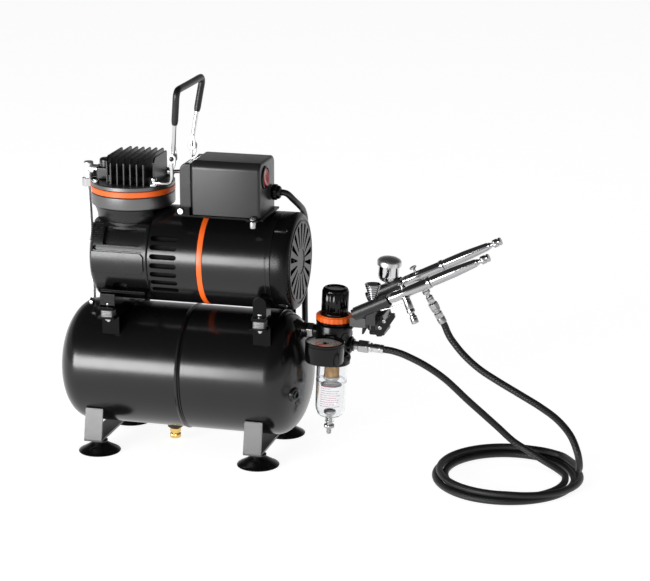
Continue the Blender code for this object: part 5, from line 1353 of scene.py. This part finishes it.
def make_mains_lead():
    start = Vector((95.5, 2.5, 269.5))
    route = [(102, 4, 267.4), (106.5, 9, 260.8), (109, 19, 253.6), (109.5, 31, 246), (108.5, 43, 234),
             (106.5, 52, 215), (104.5, 56.5, 192), (103.5, 59.5, 165), (102.5, 63.5, 138),
             (100.5, 70.5, 105), (95, 78, 70), (84, 86, 36), (66, 94, 13), (45, 95.5, 4.4), (24, 92.4, 3.6),
             (4, 88.6, 3.5)]
    near, far = 31.8, 38.2
    low, mid, high = 3.5, 9.9, 16.2
    turns = []
    angle = -80.0
    for radius, height in ((far, low), (near, low), (near, mid), (near, high), (far, high), (far, mid)):
        turns.append((angle, radius, height))
        turns.append((angle - 300, radius, height))
        angle -= 360
    turns[-1] = (angle + 360 - 190, far, mid)
    coil = winding(MAINS_COIL_AT, turns)
    plug = MAINS_COIL_AT + Vector((0, 40.5, 0))
    tail = [plug + Vector((8, 0, 9.2)), plug + Vector((18, 0, 8.2)), plug + Vector((24, 0, 8))]
    path = smooth_path([start, start + Vector((3.5, 0.2, -0.3))] + [Vector(p) for p in route] + coil + tail,
                       1.6)
    lead = tube("mains_cord", path, 3.2, "lead", ROOT, 18)
    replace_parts(lead, "mains_lead")
    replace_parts(lead, "mains_coil")
    body = make_plug(plug)


def make_plug(low):
    shift = standing(low)
    parts = []
    outline = [(46, -9), (49, -12), (73, -12), (76, -10), (76, 10), (73, 12), (49, 12), (46, 9)]
    parts.append(prism("plug_body", outline, 0.4, 21.8, "Z", "lead", ROOT, shift, bevel=1.8, steps=3))
    relief = [(0, 0), (4.2, 0), (4.5, 1.2)]
    for index in range(6):
        z = 2.2 + index * 3.4
        radius = 4.4 + index * 0.34
        relief += [(radius, z), (radius + 0.5, z + 0.5), (radius + 0.5, z + 1.9), (radius, z + 2.4)]
    relief += [(6.6, 26), (0, 26)]
    parts.append(turned("plug_relief", relief, "lead", ROOT, low + Vector((22, 0, 8)), (1, 0, 0), 40))
    for index, y in enumerate((-6.3, 6.3)):
        blade = [(75, 4.8), (91, 4.8), (92, 5.8), (92, 10.2), (91, 11.2), (75, 11.2)]
        parts.append(prism("plug_blade_%d" % index, blade, y - 0.8, y + 0.8, "Y", "brass", ROOT, shift,
                           bevel=0.2))
    parts.append(turned("plug_ground", rounded([(0, 0), (2.4, 0), (2.4, 22), (0, 22)], 1.4, 4), "brass",
                        ROOT, low + Vector((74, 0, 16.5)), (1, 0, 0), 32))
    for part in parts:
        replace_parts(part, "mains_plug")
    return parts


make_tank()
make_legs()
make_mounts()
make_crankcase()
make_motor()
make_fan_cover()
make_insides()
make_cylinder()
make_handle()
make_switch_box()
make_regulator()
make_holder()
make_airbrushes()
make_hose()
make_mains_lead()


# ---------------------------------------------------------------- room and camera

def make_stage():
    bm = bmesh.new()
    size = 9.0
    for x, y in ((-size, -size), (size, -size), (size, size), (-size, size)):
        bm.verts.new((x, y, -0.0002))
    bm.faces.new(bm.verts)
    mesh = bpy.data.meshes.new("floor")
    bm.to_mesh(mesh)
    bm.free()
    floor = bpy.data.objects.new("floor", mesh)
    bpy.context.collection.objects.link(floor)
    paper = bpy.data.materials.new("paper")
    paper.use_nodes = True
    shader = paper.node_tree.nodes["Principled BSDF"]
    shader.inputs["Base Color"].default_value = (0.3, 0.3, 0.3, 1)
    shader.inputs["Roughness"].default_value = 0.9
    shader.inputs["Emission Color"].default_value = (1, 1, 1, 1)
    shader.inputs["Emission Strength"].default_value = 0.9
    mesh.materials.append(paper)


def make_camera():
    data = bpy.data.cameras.new("camera")
    data.sensor_width = 36.0
    data.lens = 121.85
    data.clip_end = 50.0
    camera = bpy.data.objects.new("camera", data)
    bpy.context.collection.objects.link(camera)
    azimuth, elevation = math.radians(14.7), math.radians(15.8)
    turn = Matrix.Rotation(azimuth, 4, "Z") @ Matrix.Rotation(math.pi / 2 - elevation, 4, "X")
    camera.matrix_world = Matrix.Translation(place((676.58, -2042.52, 769.89))) @ turn
    bpy.context.scene.camera = camera


def area_light(name, at, aim, size, power):
    data = bpy.data.lights.new(name, "AREA")
    data.shape = "RECTANGLE"
    data.size, data.size_y = size
    data.energy = power
    lamp = bpy.data.objects.new(name, data)
    bpy.context.collection.objects.link(lamp)
    direction = Vector(aim) - Vector(at)
    lamp.matrix_world = Matrix.Translation(at) @ direction.to_track_quat("-Z", "Y").to_matrix().to_4x4()
    return lamp


def make_world():
    """White up to a little above the horizon, then a dark ceiling."""
    world = bpy.data.worlds.new("studio")
    world.use_nodes = True
    tree = world.node_tree
    coords = tree.nodes.new("ShaderNodeTexCoord")
    split = tree.nodes.new("ShaderNodeSeparateXYZ")
    ramp = tree.nodes.new("ShaderNodeValToRGB")
    tree.links.new(coords.outputs["Generated"], split.inputs["Vector"])
    tree.links.new(split.outputs["Z"], ramp.inputs["Fac"])
    tree.links.new(ramp.outputs["Color"], tree.nodes["Background"].inputs["Color"])
    stops = ((0.0, 0.5), (0.28, 0.42), (0.42, 0.06), (1.0, 0.035))
    for index, (place_at, value) in enumerate(stops):
        stop = ramp.color_ramp.elements[index] if index < 2 else ramp.color_ramp.elements.new(place_at)
        stop.position = place_at
        stop.color = (value, value, value, 1)
    bpy.context.scene.world = world


def make_lights():
    make_world()
    area_light("softbox", (-1.2, -2.0, 0.38), (-0.1, 0, 0.16), (1.3, 0.74), 52)
    top = area_light("overhead", (0.2, -0.3, 2.6), (0.1, 0, 0), (4.0, 4.0), 26)
    top.visible_glossy = False
    bpy.context.scene.view_settings.view_transform = "Standard"


make_stage()
make_camera()
make_lights()
